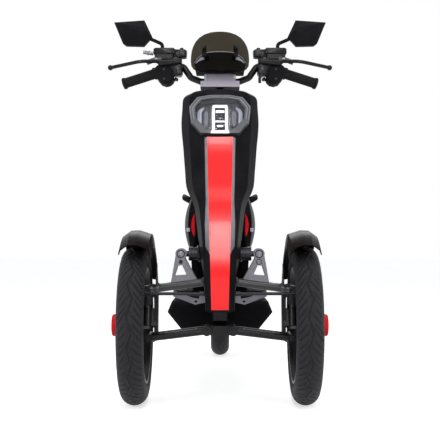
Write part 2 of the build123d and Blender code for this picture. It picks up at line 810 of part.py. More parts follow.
with BuildPart() as visor:
    with BuildSketch(visor_plane):
        Circle(visor_r)
        Circle(visor_r - visor_thickness, mode=Mode.SUBTRACT)
        with Locations((0, visor_r)):
            Rectangle(4 * visor_r, 3 * visor_r, mode=Mode.SUBTRACT)
    extrude(amount=200)
    right_edge = [(x, bar_z + z) for x, z in visor_edge]
    left_edge = [(-x, z) for x, z in right_edge]
    with BuildSketch(front_plane(bar_y - 200)):
        with BuildLine():
            Polyline(left_edge[0], *right_edge)
            ThreePointArc(right_edge[-1], (0, visor_top), left_edge[-1])
            Polyline(*reversed(left_edge))
        make_face()
    extrude(amount=-400, mode=Mode.INTERSECT)
save(visor, "visor")

# ---------------------------------------------------------------- chassis
floor_z = up(90)
case_top, case_mid, case_low = up(54), up(18), up(-52)
case_front, case_rear = aft(300), fore(486)
rail_x, rail_width = 88.0, 28.0
rail_front, rail_rear = aft(308), fore(440)
rail_low, rail_high = case_top + gap, up(78)
pivot_y, pivot_z = fore(414), up(58)
seat_rail_z = up(330)
post_half = 22.0
post_width = 24.0

with BuildPart() as frame:
    head_low, head_high = column_low + lug_thickness + 4, 330.0
    with BuildSketch(column_plane(head_low)):
        Circle(head_tube_r)
    extrude(amount=head_high - head_low)
    # barrels between the arms' rings, on a cross plate and a foot
    with BuildSketch(front_plane(arm_mid_y)):
        for (x, z), height in ((upper_inner, 24), (lower_inner, 28)):
            with Locations((x, z), (-x, z)):
                Circle(eye_r - 1)
            with Locations((0, z)):
                Rectangle(2 * x, height)
    extrude(amount=barrel_length / 2, both=True)
    # post behind the column, from the foot to the head tube, and the beam to the floor rails
    beam = [
        (arm_mid_y + 10, lower_inner[1] - 16),
        (aft(105), lower_inner[1] - 16),
        (case_front, up(8)),
        (case_front - 4, up(28)),
        (case_front - 4, rail_low),
        (case_front + 30, rail_low),
        (case_front + 30, rail_high),
        (case_front, rail_high),
        (aft(210), floor_z),
        (aft(150), floor_z),
        (aft(95), up(118)),
        (aft(62), up(118)),
        (aft(62), up(8)),
        (arm_mid_y + 10, lower_inner[1] + 12),
    ]
    with BuildSketch(side_plane(-post_half)):
        Polygon(*beam, align=None)
    extrude(amount=2 * post_half)
    # floor rails and their cross members
    with BuildSketch(Plane.XY.offset(rail_low)):
        for y in (rail_front, rail_rear - rail_width):
            with Locations((0, y + rail_width / 2)):
                Rectangle(2 * rail_x + rail_width, rail_width)
        for x in (-rail_x, rail_x):
            with Locations((x, (rail_front + rail_rear) / 2)):
                Rectangle(rail_width, rail_rear - rail_front)
    extrude(amount=rail_high - rail_low)
    # posts up to the seat rails
    post = [
        (fore(454), rail_low),
        (fore(394), pivot_z - 22),
        (fore(394), pivot_z + 30),
        (fore(406), up(158)),
        (fore(386), seat_rail_z - 24),
        (fore(6), seat_rail_z - 12),
        (fore(6), seat_rail_z + 12),
        (fore(420), seat_rail_z + 12),
        (fore(442), up(158)),
        (fore(454), rail_high),
    ]
    for x in (-rail_x, rail_x):
        with BuildSketch(side_plane(x - post_width / 2)):
            Polygon(*post, align=None)
        extrude(amount=post_width)
    for y in (fore(306), fore(18)):
        with BuildSketch(side_plane(-rail_x)):
            with Locations((y, seat_rail_z)):
                Rectangle(24, 22)
        extrude(amount=2 * rail_x)
    with BuildSketch(column_plane(head_low)):
        Circle(column_r + running_gap)
    extrude(amount=head_high - head_low, mode=Mode.SUBTRACT)
save(frame, "frame")

case_outline = [(104, case_low), (127, case_low + 6), (179, case_mid), (164, case_top)]

with BuildPart() as battery_case:
    with BuildSketch(front_plane(case_front)):
        Polygon(*mirrored(case_outline), align=None)
    extrude(amount=case_front - case_rear)
    chamfer(battery_case.faces().sort_by(Axis.Y)[0].edges(), length=8)
save(battery_case, "battery_case")

board_front, board_rear = case_front + 10, case_rear
board_half, board_lip = 160.0, 12.0

with BuildPart() as floor_board:
    middle = (board_front + board_rear) / 2
    length = board_rear - board_front
    with BuildSketch(Plane.XY.offset(rail_high + gap)):
        with Locations((0, middle)):
            RectangleRounded(2 * board_half, length, 24)
    extrude(amount=floor_z - rail_high - gap)
    with BuildSketch(Plane.XY.offset(floor_z)):
        for x in (-board_half + board_lip / 2, board_half - board_lip / 2):
            with Locations((x, middle)):
                Rectangle(board_lip, length - 70)
    extrude(amount=8)
save(floor_board, "floor_board")

# front fairing: sections square to Z, each with a flat front, two facets and a side
fairing_wall = 4.0
fairing_steps = 16
# height above the axles, front and seam behind the front axle, half width, half width of the stripe
fairing_sections = [
    (48, -128, 96, 52, 25.5),
    (158, -146, 96, 58, 28),
    (268, -136, 100, 67, 31),
    (363, -92, 132, 80, 34),
    (423, -52, 152, 104, 36),
    (558, 20, 196, 118, 39.5),
    (638, 48, 222, 125, 42),
    (690, 66, 236, 124, 43),
    (720, 80, 244, 114, 42),
    (738, 94, 250, 98, 40),
    (746, 106, 254, 80, 38),
]
fairing_rows = even_steps(fairing_sections, fairing_steps)
fairing_top = up(fairing_sections[-1][0])


def fairing_face(height, front, seam, half, stripe, inset=0.0, extra=0.0):
    """One section; inset draws the inside of the wall, and extra runs it past the seam."""
    depth = seam - front
    front_y = aft(front) + inset
    flank_y, side_y = front_y + 0.14 * depth + 4, front_y + 0.5 * depth
    right = [(stripe, front_y), (half * 0.8 - inset, flank_y), (half - inset, side_y),
             ((half - inset) * 0.97, aft(seam) + extra)]
    with BuildSketch(Plane.XY.offset(up(height))) as section:
        Polygon(*mirrored(right), align=None)
    return section.sketch


lamp_z = up(656)
lamp_tilt = 20.0
lamp_y = aft(52)
lamp_proud, lamp_depth, lamp_floor = 6.0, 34.0, 4.0


def lamp_plane(offset):
    """Plane of the headlight, leaning back; offset is out of the fairing."""
    normal = Vector(0, -cos(radians(lamp_tilt)), sin(radians(lamp_tilt)))
    return Plane(origin=Vector(0, lamp_y, lamp_z) + normal * offset, x_dir=(1, 0, 0), z_dir=normal)


bezel_outline = mirrored([(60, -66), (92, -20), (97, 26), (72, 60), (30, 68)])
lens_outline = mirrored([(38, -58), (76, -14), (79, 24), (60, 50), (26, 57)])
# the fairing's lower rear, open round the suspension and the shock: behind the front axle, above it
suspension_opening = [(-86, 38), (-88, 158), (-40, 198), (-30, 258), (60, 298), (400, 306), (400, 38)]

with BuildPart() as front_fairing:
    loft([fairing_face(*row) for row in fairing_rows])
    inside = even_steps(fairing_sections, fairing_steps, short=fairing_wall)
    loft([fairing_face(*row, fairing_wall, 40) for row in inside], mode=Mode.SUBTRACT)
    with BuildSketch(side_plane(-200)):
        Polygon(*[(aft(y), up(z)) for y, z in suspension_opening], align=None)
    extrude(amount=400, mode=Mode.SUBTRACT)
    with BuildSketch(column_plane(700)):
        Circle(column_r + 6)
    extrude(amount=140, mode=Mode.SUBTRACT)
    with BuildSketch(lamp_plane(60)) as pocket:
        Polygon(*bezel_outline, align=None)
        offset(amount=gap, kind=Kind.INTERSECTION)
    extrude(pocket.sketch, amount=-92, mode=Mode.SUBTRACT)
save(front_fairing, "front_fairing")

with BuildPart() as headlight_bezel:
    with BuildSketch(lamp_plane(lamp_proud)):
        Polygon(*bezel_outline, align=None)
        Polygon(*lens_outline, align=None, mode=Mode.SUBTRACT)
    extrude(amount=-lamp_depth)
    with BuildSketch(lamp_plane(lamp_proud - lamp_depth)):
        Polygon(*bezel_outline, align=None)
    extrude(amount=-lamp_floor)
save(headlight_bezel, "headlight_bezel")

with BuildPart() as headlight_lens:
    with BuildSketch(lamp_plane(2)) as glass:
        Polygon(*lens_outline, align=None)
        offset(amount=-0.5, kind=Kind.INTERSECTION)
    extrude(glass.sketch, amount=-5)
save(headlight_lens, "headlight_lens")

# red stripe down the middle of the fairing, following its front
stripe_low, stripe_high, stripe_thickness = up(55), up(584), 2.5


def stripe_face(height, front, seam, half, stripe):
    with BuildSketch(Plane.XY.offset(up(height))) as section:
        with Locations((0, aft(front))):
            Rectangle(2 * stripe, 2 * stripe_thickness)
    return section.sketch


with BuildPart() as fairing_stripe:
    loft([stripe_face(*row) for row in fairing_rows])
    with BuildSketch(Plane.XY.offset(stripe_low)):
        Rectangle(4 * overall_length, 2 * overall_length)
    extrude(amount=stripe_high - stripe_low, mode=Mode.INTERSECT)
    loft([fairing_face(*row) for row in fairing_rows], mode=Mode.SUBTRACT)
save(fairing_stripe, "fairing_stripe")

# rider's side of the fairing, behind the column, down to the floor; it meets the front along its seam
# height above the axles, back behind the front axle, half width
inner_sections = [
    (90.3, 190, 84),
    (208, 176, 92),
    (318, 190, 78),
    (418, 212, 94),
    (558, 252, 106),
    (638, 268, 112),
    (690, 282, 108),
    (720, 292, 98),
    (746, 300, 74),
]
inner_seam = 108.0
seam_gap = 0.9
inner_steps = 12


def inner_face(height, back, half, inset=0.0, extra=0.0):
    seam = max(inner_seam, smooth_row(fairing_sections, height)[2])
    side_y = aft((seam + back) / 2)
    right = [(half - inset, aft(seam) + seam_gap - extra), (half * 0.98 - inset, side_y),
             (half * 0.66 - inset, aft(back) - inset)]
    with BuildSketch(Plane.XY.offset(up(height))) as section:
        Polygon(*mirrored(right), align=None)
    return section.sketch


neck_low, neck_high = fairing_top, up(769)

with BuildPart() as inner_fairing:
    loft([inner_face(*row) for row in even_steps(inner_sections, inner_steps)])
    inside = even_steps(inner_sections, inner_steps, short=fairing_wall)
    loft([inner_face(*row, fairing_wall, 30) for row in inside], mode=Mode.SUBTRACT)
    # neck on top, round the column
    with BuildSketch(Plane.XY.offset(neck_low)) as neck_foot:
        with Locations((0, aft(258))):
            RectangleRounded(136, 92, 12)
    with BuildSketch(Plane.XY.offset(neck_high)) as neck_head:
        with Locations((0, bar_y)):
            RectangleRounded(120, 78, 12)
    loft([neck_foot.sketch, neck_head.sketch])
    with BuildSketch(column_plane(700)):
        Circle(column_r + 6)
    extrude(amount=140, mode=Mode.SUBTRACT)
save(inner_fairing, "inner_fairing")

# ---------------------------------------------------------------- rear body and seat
seat_hinge_y, seat_hinge_z = fore(516), up(462)
hinge_half, ear_thickness = 30.0, 6.0
hinge_pin_r, hinge_barrel_r = 3.5, 7.0
tongue = 5.0
body_wall = 9.0
body_top = up(458)
box_floor = seat_rail_z + 30
box_width, box_length, box_middle_y = 172.0, 330.0, fore(286)
# distance behind the rear axle, half width at the top, at the waist and at the foot, foot above the axles
body_sections = [
    (-506, 100, 124, 116, 234),
    (-326, 108, 143, 126, 232),
    (-56, 104, 138, 118, 258),
    (94, 88, 112, 96, 298),
    (214, 62, 74, 60, 348),
]
body_front, body_rear = fore(506), fore(-214)


def body_face(distance, top, waist, foot, low, inset=0.0, drop=0.0):
    """One section with bowed sides; inset draws the wall's inside, and drop opens it downwards."""
    with BuildSketch(front_plane(fore(-distance))) as section:
        low_z = up(low)
        waist_z = low_z + 0.55 * (body_top - low_z)
        right = [(foot - inset, low_z), (waist - inset, waist_z), (top - inset, body_top)]
        left = [(-x, z) for x, z in right]
        with BuildLine():
            ThreePointArc(*right)
            Line(right[2], left[2])
            ThreePointArc(*reversed(left))
            if drop:
                Polyline(left[0], (left[0][0], low_z - drop), (right[0][0], low_z - drop), right[0])
            else:
                Line(left[0], right[0])
        make_face()
    return section.sketch


with BuildPart() as rear_body:
    loft([body_face(*row) for row in body_sections])
    # underside, open over the frame and the wheel
    with BuildPart(mode=Mode.PRIVATE) as below:
        loft([body_face(*row, body_wall, 60) for row in body_sections])
        with BuildSketch(side_plane(-300)):
            front, rear, low, high = body_front + body_wall, fore(-195), up(100), seat_rail_z + 12 + gap
            Polygon((front, low), (rear, low), (rear, high), (front, high), align=None)
        extrude(amount=600, mode=Mode.INTERSECT)
    add(below.part, mode=Mode.SUBTRACT)
    # space under the seat
    with BuildSketch(Plane.XY.offset(box_floor)):
        with Locations((0, box_middle_y)):
            RectangleRounded(box_width, box_length, 12)
    extrude(amount=200, mode=Mode.SUBTRACT)
    # two ears in front of the seat, with the hinge pin between them
    ear = [
        (body_front + 4, seat_hinge_z - 34),
        (body_front + 4, seat_hinge_z - 8),
        (body_front - 1, seat_hinge_z - 5),
        (seat_hinge_y, seat_hinge_z + 7),
        (seat_hinge_y - 8, seat_hinge_z),
        (seat_hinge_y - 6, seat_hinge_z - 8),
    ]
    for x in (-hinge_half - ear_thickness, hinge_half):
        with BuildSketch(side_plane(x)):
            Polygon(*ear, align=None)
        extrude(amount=ear_thickness)
    with BuildSketch(side_plane(-hinge_half - 1)):
        with Locations((seat_hinge_y, seat_hinge_z)):
            Circle(hinge_pin_r)
    extrude(amount=2 * hinge_half + 2)
save(rear_body, "rear_body")

with BuildPart() as side_accents:
    for side in (-1, 1):
        tip, foot = (side * 99, up(370)), (side * 94, up(266))
        with BuildSketch(front_plane(body_front - gap)):
            with BuildLine():
                ThreePointArc(tip, (side * 113, up(324)), foot)
                ThreePointArc(foot, (side * 100, up(320)), tip)
            make_face()
        extrude(amount=10)
save(side_accents, "side_accents")

# seat: crowned sections with rounded shoulders, and a step up to the passenger's place
seat_low = body_top + gap
# distance behind the rear axle, half width, height
seat_sections = [
    (-506, 86, 30),
    (-484, 98, 47),
    (-400, 108, 56),
    (-300, 112, 57),
    (-170, 111, 61),
    (-112, 109, 76),
    (-60, 106, 91),
    (94, 93, 90),
    (176, 76, 82),
    (206, 60, 58),
]


def seat_face(distance, half, height):
    with BuildSketch(front_plane(fore(-distance))) as section:
        outline = [(half - 8, 0), (half, 0.4), (half * 0.94, 0.8), (half * 0.7, 0.94)]
        right = [(x, seat_low + share * height) for x, share in outline]
        left = [(-x, z) for x, z in right]
        with BuildLine():
            Line(right[0], right[1])
            ThreePointArc(*right[1:])
            ThreePointArc(right[3], (0, seat_low + height), left[3])
            ThreePointArc(*reversed(left[1:]))
            Polyline(left[1], left[0], right[0])
        make_face()
    return section.sketch


with BuildPart() as seat:
    loft([seat_face(*row) for row in seat_sections])
    # hinge barrel on a tongue from the seat's nose
    tongue_end = body_front + 16
    with BuildSketch(side_plane(-hinge_half + 1)):
        with Locations((seat_hinge_y, seat_hinge_z)):
            Circle(hinge_barrel_r)
        with Locations(((seat_hinge_y + tongue_end) / 2, seat_hinge_z + hinge_barrel_r - tongue / 2)):
            Rectangle(tongue_end - seat_hinge_y, tongue)
    extrude(amount=2 * hinge_half - 2)
    with BuildSketch(side_plane(-hinge_half + 1)):
        with Locations((seat_hinge_y, seat_hinge_z)):
            Circle(hinge_pin_r + running_gap)
    extrude(amount=2 * hinge_half - 2, mode=Mode.SUBTRACT)
save(seat, "seat")

# grab handles: a loop on each side of the seat; x, ahead of the rear axle, above the axles
handle_path = [(100, 126, 418), (156, 122, 448), (158, 46, 462), (150, -84, 462), (70, -94, 428)]
handle_r, handle_bend = 9.0, 12.0

with BuildPart() as grab_handles:
    for side in (-1, 1):
        loop_points = [Vector(side * x, fore(y), up(z)) for x, y, z in handle_path]
        with BuildLine():
            FilletPolyline(*loop_points, radius=handle_bend)
        with BuildSketch(Plane(origin=loop_points[0], z_dir=loop_points[1] - loop_points[0])):
            Circle(handle_r)
        sweep()
    loft([body_face(*row, -gap) for row in body_sections], mode=Mode.SUBTRACT)
save(grab_handles, "grab_handles")

with BuildPart() as tail_light:
    with BuildSketch(Plane(origin=(0, body_rear + gap, up(413)), x_dir=(-1, 0, 0), z_dir=(0, 1, 0))):
        RectangleRounded(104, 40, 12)
    extrude(amount=26)
    chamfer(tail_light.faces().sort_by(Axis.Y)[-1].edges(), length=6)
save(tail_light, "tail_light")

# rear fender: an arch over the tyre, a pedestal under the frame and a bracket for a plate
rear_fender_r = tyre_radius + 16
rear_fender_wall = 4.0
rear_fender_front, rear_fender_back = 62.0, 160.0  # from the front horizontal, over the top
# right half of the arch's section: x, above the fender's inside
arch_outside = [(56, -26), (49, rear_fender_wall)]
arch_inside = [(46, 0), (52, -26)]
plate_thickness = 5.0
plate_z = up(104)
plate_hole_spacing, plate_hole_r = 110.0, 3.2


def on_fender(angle):
    """Point in the middle of the rear fender's wall, at an angle above the rear horizontal."""
    radius = rear_fender_r + rear_fender_wall / 2
    return rear_axle_y + radius * cos(radians(angle)), axle_z + radius * sin(radians(angle))


with BuildPart() as rear_fender:
    angle = radians(rear_fender_front)
    start = Plane(origin=(0, rear_axle_y, axle_z), x_dir=(1, 0, 0), z_dir=(0, -sin(angle), -cos(angle)))
    with BuildSketch(start):
        half_section = [*arch_outside, *arch_inside]
        right = [(x, rear_fender_r + y) for x, y in half_section]
        left = [(-x, y) for x, y in right]
        Polygon(*right[:2], *reversed(left[:2]), *reversed(left[2:]), *right[2:], align=None)
    revolve(axis=Axis((0, rear_axle_y, axle_z), (-1, 0, 0)),
            revolution_arc=rear_fender_back - rear_fender_front)
    pedestal_top = seat_rail_z - 11 - gap
    pedestal = [(fore(44), up(rear_fender_r + 1)), (fore(30), pedestal_top), (fore(6), pedestal_top),
                (fore(-8), up(rear_fender_r + 1))]
    with BuildSketch(side_plane(-38)):
        Polygon(*pedestal, align=None)
    extrude(amount=76)
    # arm to the rear and the upright bracket for a number plate, with its two bolt holes
    arm_end = tail_y - plate_thickness + 1
    with BuildSketch(side_plane(-24)):
        Polygon(on_fender(30), (arm_end, up(132)), (arm_end, up(114)), on_fender(21), align=None)
    extrude(amount=48)
    with BuildSketch(Plane(origin=(0, tail_y, plate_z), x_dir=(-1, 0, 0), z_dir=(0, 1, 0))):
        RectangleRounded(150, 110, 10)
        with Locations((-plate_hole_spacing / 2, 30), (plate_hole_spacing / 2, 30)):
            Circle(plate_hole_r, mode=Mode.SUBTRACT)
    extrude(amount=-plate_thickness)
save(rear_fender, "rear_fender")

# swing arm: two beams, a pivot tube between the frame's posts and the rear axle with its spacers
beam_x, beam_thickness = 64.0, 16.0
pivot_half = rail_x - post_width / 2 - gap
pivot_r = 18.0

with BuildPart() as swing_arm:
    beam = [
        (pivot_y - 16, pivot_z - 14),
        (pivot_y + 10, pivot_z - 20),
        (fore(-20), up(-20)),
        (fore(-30), axle_z),
        (fore(-18), up(20)),
        (fore(96), up(30)),
        (pivot_y + 12, pivot_z + 20),
        (pivot_y - 16, pivot_z + 14),
    ]
    for x in (-beam_x, beam_x):
        with BuildSketch(side_plane(x - beam_thickness / 2)):
            Polygon(*beam, align=None)
        extrude(amount=beam_thickness)
    for y, z, radius, half in (
        (pivot_y, pivot_z, pivot_r, pivot_half),
        (rear_axle_y, axle_z, stub_axle_r, beam_x + beam_thickness / 2),
    ):
        with BuildSketch(side_plane(-half)):
            with Locations((y, z)):
                Circle(radius)
        extrude(amount=2 * half)
    spacer_start = drum_width / 2 + gap
    for side in (-1, 1):
        with BuildSketch(side_plane(side * spacer_start)):
            with Locations((rear_axle_y, axle_z)):
                Circle(20)
        extrude(amount=side * (beam_x - beam_thickness / 2 - spacer_start))
save(swing_arm, "swing_arm")

rear_shock_x = rail_x
rear_shock_eye_r, rear_shock_eye_width = 13.0, 22.0

with BuildPart() as rear_shocks:
    for x in (-rear_shock_x, rear_shock_x):
        low, high = Vector(x, fore(92), up(42)), Vector(x, fore(146), seat_rail_z - 30)
        run = high - low
        # rod, then the body and its coil
        for start, share, radius in ((0, 1, 9), (0.2, 0.62, 19)):
            with BuildSketch(Plane(origin=low + run * start, z_dir=run)):
                Circle(radius)
            extrude(amount=run.length * share)
        with BuildSketch(side_plane(x - rear_shock_eye_width / 2)):
            with Locations((low.Y, low.Z), (high.Y, high.Z)):
                Circle(rear_shock_eye_r)
        extrude(amount=rear_shock_eye_width)
save(rear_shocks, "rear_shocks")

# lock plates: a wing on each side of the frame's post; x, above the axles
lock_outline = [(post_half + gap, 99), (62, 99), (66, 76), (88, 80), (124, 94), (145, 102), (148, 84),
                (78, 58), (60, 62), (post_half + gap, 70)]

with BuildPart() as lock_plates:
    for side in (-1, 1):
        with BuildSketch(front_plane(aft(72))):
            Polygon(*[(side * x, up(z)) for x, z in lock_outline], align=None)
            with Locations((side * 76, up(68))):
                Circle(4, mode=Mode.SUBTRACT)
        extrude(amount=-6)
save(lock_plates, "lock_plates")
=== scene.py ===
# %% [markdown]
# # A reverse trike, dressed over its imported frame
#
# The real vehicle is a slim electric scooter with two steered wheels in front and a driven wheel behind.
# Its exact solids are already packed. This lesson gives them real finishes, and makes in mesh code the things
# that solids show badly: rubber tread, a stuffed seat, lamp internals and small hardware.
# Everything is in metres, in the solids' own frame: +Z is up, the vehicle faces -Y, and its left side is +X.

# %% Load the frame
import json
import math

import bmesh
import bpy
from mathutils import Matrix, Vector
from mathutils.bvhtree import BVHTree


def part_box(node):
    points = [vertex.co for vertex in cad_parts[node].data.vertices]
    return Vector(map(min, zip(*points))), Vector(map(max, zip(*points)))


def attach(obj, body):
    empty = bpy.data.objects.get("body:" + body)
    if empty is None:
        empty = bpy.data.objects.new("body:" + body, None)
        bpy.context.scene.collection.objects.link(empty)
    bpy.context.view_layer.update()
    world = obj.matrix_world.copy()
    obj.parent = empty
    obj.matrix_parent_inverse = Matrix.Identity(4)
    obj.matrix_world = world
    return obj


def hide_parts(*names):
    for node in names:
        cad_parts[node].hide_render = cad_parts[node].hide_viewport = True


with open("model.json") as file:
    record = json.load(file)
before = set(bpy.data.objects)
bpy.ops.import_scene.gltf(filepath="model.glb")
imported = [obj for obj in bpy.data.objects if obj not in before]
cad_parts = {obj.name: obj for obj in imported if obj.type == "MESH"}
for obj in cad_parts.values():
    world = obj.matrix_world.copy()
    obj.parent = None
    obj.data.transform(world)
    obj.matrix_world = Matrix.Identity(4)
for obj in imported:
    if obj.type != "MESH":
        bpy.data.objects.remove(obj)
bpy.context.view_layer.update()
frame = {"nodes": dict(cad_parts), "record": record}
nodes = frame["nodes"]
MM = 0.001

# %% [markdown]
# ## The camera and the room
#
# The camera stands in front of the vehicle at the height of the fenders, and looks up by less than two
# degrees. A long lens keeps the front wheels and the handlebar in proportion.
# The room is white: the floor adds a little light of its own to what the camera sees, and still takes shadows.

# %% Camera
LENS_MM, CAMERA_PLACE, CAMERA_PITCH = 76.6, (0, -3.581, 0.489), 1.94
camera_data = bpy.data.cameras.new("camera")
camera_data.sensor_width = 36
camera_data.lens = LENS_MM
camera = bpy.data.objects.new("camera", camera_data)
camera.location = CAMERA_PLACE
camera.rotation_euler = (math.radians(90 + CAMERA_PITCH), 0, 0)
bpy.context.scene.collection.objects.link(camera)
bpy.context.scene.camera = camera
bpy.context.scene.view_settings.view_transform = "Standard"
print("camera at", tuple(round(x, 3) for x in camera.location))

# %% [markdown]
# ## Two helpers for materials
#
# A hex code is written as the eye sees it, and Blender mixes light in linear values, so one function converts it.
# One more function adds a node, sets its sockets and joins it to others. Every finish below uses only these.

# %% Colour and node helpers
def linear(code):
    """An sRGB hex code as linear red, green, blue and alpha."""
    channels = [int(code[i:i + 2], 16) / 255 for i in (1, 3, 5)]
    return [c / 12.92 if c <= 0.04045 else ((c + 0.055) / 1.055) ** 2.4 for c in channels] + [1.0]


def add(tree, kind, settings=None, links=None):
    """A new node; settings are socket or attribute values, and links are outputs that feed its sockets."""
    node = tree.nodes.new(kind)
    for key, value in (settings or {}).items():
        if key == "stops":
            ramp = node.color_ramp.elements
            while len(ramp) < len(value):
                ramp.new(0.5)
            for stop, (place, code) in zip(ramp, value):
                stop.position, stop.color = place, linear(code) if isinstance(code, str) else [code] * 3 + [1.0]
        elif isinstance(key, int) or key in node.inputs:
            node.inputs[key].default_value = value
        else:
            setattr(node, key, value)
    for key, output in (links or {}).items():
        tree.links.new(output, node.inputs[key])
    return node


def start(name, **settings):
    """A material, its node tree, its shader and the Object coordinates that its patterns read."""
    material = bpy.data.materials.new(name)
    material.use_nodes = True
    tree = material.node_tree
    shader = tree.nodes["Principled BSDF"]
    for key, value in settings.items():
        shader.inputs[key.replace("_", " ")].default_value = value
    place = add(tree, "ShaderNodeTexCoord").outputs["Object"]
    return material, tree, shader, place


def seen_rays(tree):
    """1 for rays that show the white room: from the camera, off gloss, and through glass."""
    rays = add(tree, "ShaderNodeLightPath")
    direct = add(tree, "ShaderNodeMath", {"operation": "MAXIMUM"},
                 {0: rays.outputs["Is Camera Ray"], 1: rays.outputs["Is Transmission Ray"]})
    return add(tree, "ShaderNodeMath", {"operation": "MAXIMUM"},
               {0: direct.outputs[0], 1: rays.outputs["Is Glossy Ray"]}).outputs[0]


print("#808080 is", round(linear("#808080")[0], 3), "in linear light")

# %% World and floor
ROOM_LIGHT, FLOOR_GLOW, FLOOR_RADIUS = 0.42, 0.62, 30
world = bpy.data.worlds.new("studio")
world.use_nodes = True
bpy.context.scene.world = world
tree = world.node_tree
tree.nodes.clear()
soft_light = add(tree, "ShaderNodeBackground", {"Color": linear("#f2f4f8"), "Strength": ROOM_LIGHT})
white = add(tree, "ShaderNodeBackground", {"Color": linear("#ffffff"), "Strength": 1.0})
choice = add(tree, "ShaderNodeMixShader", None,
             {0: seen_rays(tree), 1: soft_light.outputs[0], 2: white.outputs[0]})
add(tree, "ShaderNodeOutputWorld", None, {"Surface": choice.outputs[0]})

floor_mesh = bpy.data.meshes.new("floor")
bm = bmesh.new()
bmesh.ops.create_circle(bm, cap_ends=True, segments=64, radius=FLOOR_RADIUS)
bm.to_mesh(floor_mesh)
bm.free()
floor = bpy.data.objects.new("floor", floor_mesh)
bpy.context.scene.collection.objects.link(floor)
floor_finish, tree, shader, place = start("white_floor", Roughness=0.9, Specular_IOR_Level=0.1)
grain = add(tree, "ShaderNodeTexNoise", {"Scale": 3.0, "Detail": 2.0}, {"Vector": place})
tone = add(tree, "ShaderNodeValToRGB", {"stops": [(0.3, "#efefef"), (0.7, "#f3f3f3")]}, {"Fac": grain.outputs["Fac"]})
tree.links.new(tone.outputs["Color"], shader.inputs["Base Color"])
glow = add(tree, "ShaderNodeEmission", {"Color": linear("#ffffff"), "Strength": FLOOR_GLOW})
both = add(tree, "ShaderNodeAddShader", None, {0: shader.outputs[0], 1: glow.outputs[0]})
shown = add(tree, "ShaderNodeMixShader", None, {0: seen_rays(tree), 1: shader.outputs[0], 2: both.outputs[0]})
tree.links.new(shown.outputs[0], tree.nodes["Material Output"].inputs["Surface"])
floor_mesh.materials.append(floor_finish)
print("floor and world ready")


# %% [markdown]
# ## Soft lamps
#
# A studio lights black plastic with white panels, because what the eye reads on gloss is the panel's
# reflection. A narrow tall panel hangs high in front, where the leaning middle of the fairing mirrors it and its
# upright foot doesn't: the pale wash down the red stripe is this panel's, not the paint's. A broad panel hangs
# above, two stand at the sides, and one behind draws the seat and the fenders off the wall.

# %% Lamps
def lamp(name, place, aim, size, power):
    data = bpy.data.lights.new(name, "AREA")
    data.shape, data.size, data.size_y, data.energy = "RECTANGLE", size[0], size[1], power
    thing = bpy.data.objects.new(name, data)
    thing.location = place
    thing.rotation_mode = "QUATERNION"
    thing.rotation_quaternion = (Vector(aim) - Vector(place)).to_track_quat("-Z", "Y")
    bpy.context.scene.collection.objects.link(thing)


# name, place, aim, width and height in metres, and power in watts
LAMPS = [
    ("stripe_panel", (0, -3.07, 1.93), (0, -0.83, 0.5), (0.13, 2.4), 33),
    ("top_front", (0, -1.2, 4.0), (0, -0.5, 0.5), (2.8, 1.0), 44),
    ("side_left", (2.9, -1.6, 1.3), (0, -0.2, 0.6), (0.6, 2.2), 34),
    ("side_right", (-2.9, -1.6, 1.3), (0, -0.2, 0.6), (0.6, 2.2), 34),
    ("behind", (0, 2.9, 2.6), (0, 0.4, 0.5), (2.2, 1.2), 20),
]
for row in LAMPS:
    lamp(*row)
print(len(LAMPS), "lamps")

# %% [markdown]
# ## Moulded and painted plastic
#
# Most of what shows is ABS or polypropylene. Polypropylene leaves its mould with a spark-eroded texture, so its
# highlights are broad and soft. ABS body panels are sprayed and lacquered, which leaves a smooth face with the
# faint waviness called orange peel. One recipe makes both, because only its numbers differ.
#
# Real ABS has an index of refraction near 1.5. In an all-white room that much reflection turns black to grey, so
# the dark finishes were given a lower index, matched to the object. Under other light they look duller than
# the real gloss.

# %% Plastic finishes
def plastic(name, low, high, rough, grain_mm, depth_mm, coat=0.0, shade_mm=90.0, shine=0.5, index=1.5):
    """low and high are the two tones that the pigment drifts between over shade_mm."""
    material, tree, shader, place = start(name, IOR=index, Coat_Weight=coat, Coat_Roughness=0.05,
                                          Specular_IOR_Level=shine)
    drift = add(tree, "ShaderNodeTexNoise", {"Scale": 1 / (shade_mm * MM), "Detail": 3.0}, {"Vector": place})
    tone = add(tree, "ShaderNodeValToRGB", {"stops": [(0.32, low), (0.68, high)]}, {"Fac": drift.outputs["Fac"]})
    tree.links.new(tone.outputs["Color"], shader.inputs["Base Color"])
    skin = add(tree, "ShaderNodeTexNoise", {"Scale": 1 / (grain_mm * MM), "Detail": 2.0}, {"Vector": place})
    bump = add(tree, "ShaderNodeBump", {"Strength": 0.6, "Distance": depth_mm * MM}, {"Height": skin.outputs["Fac"]})
    tree.links.new(bump.outputs["Normal"], shader.inputs["Normal"])
    spread = add(tree, "ShaderNodeMapRange", {"To Min": rough * 0.85, "To Max": rough * 1.15},
                 {"Value": skin.outputs["Fac"]})
    tree.links.new(spread.outputs["Result"], shader.inputs["Roughness"])
    return material


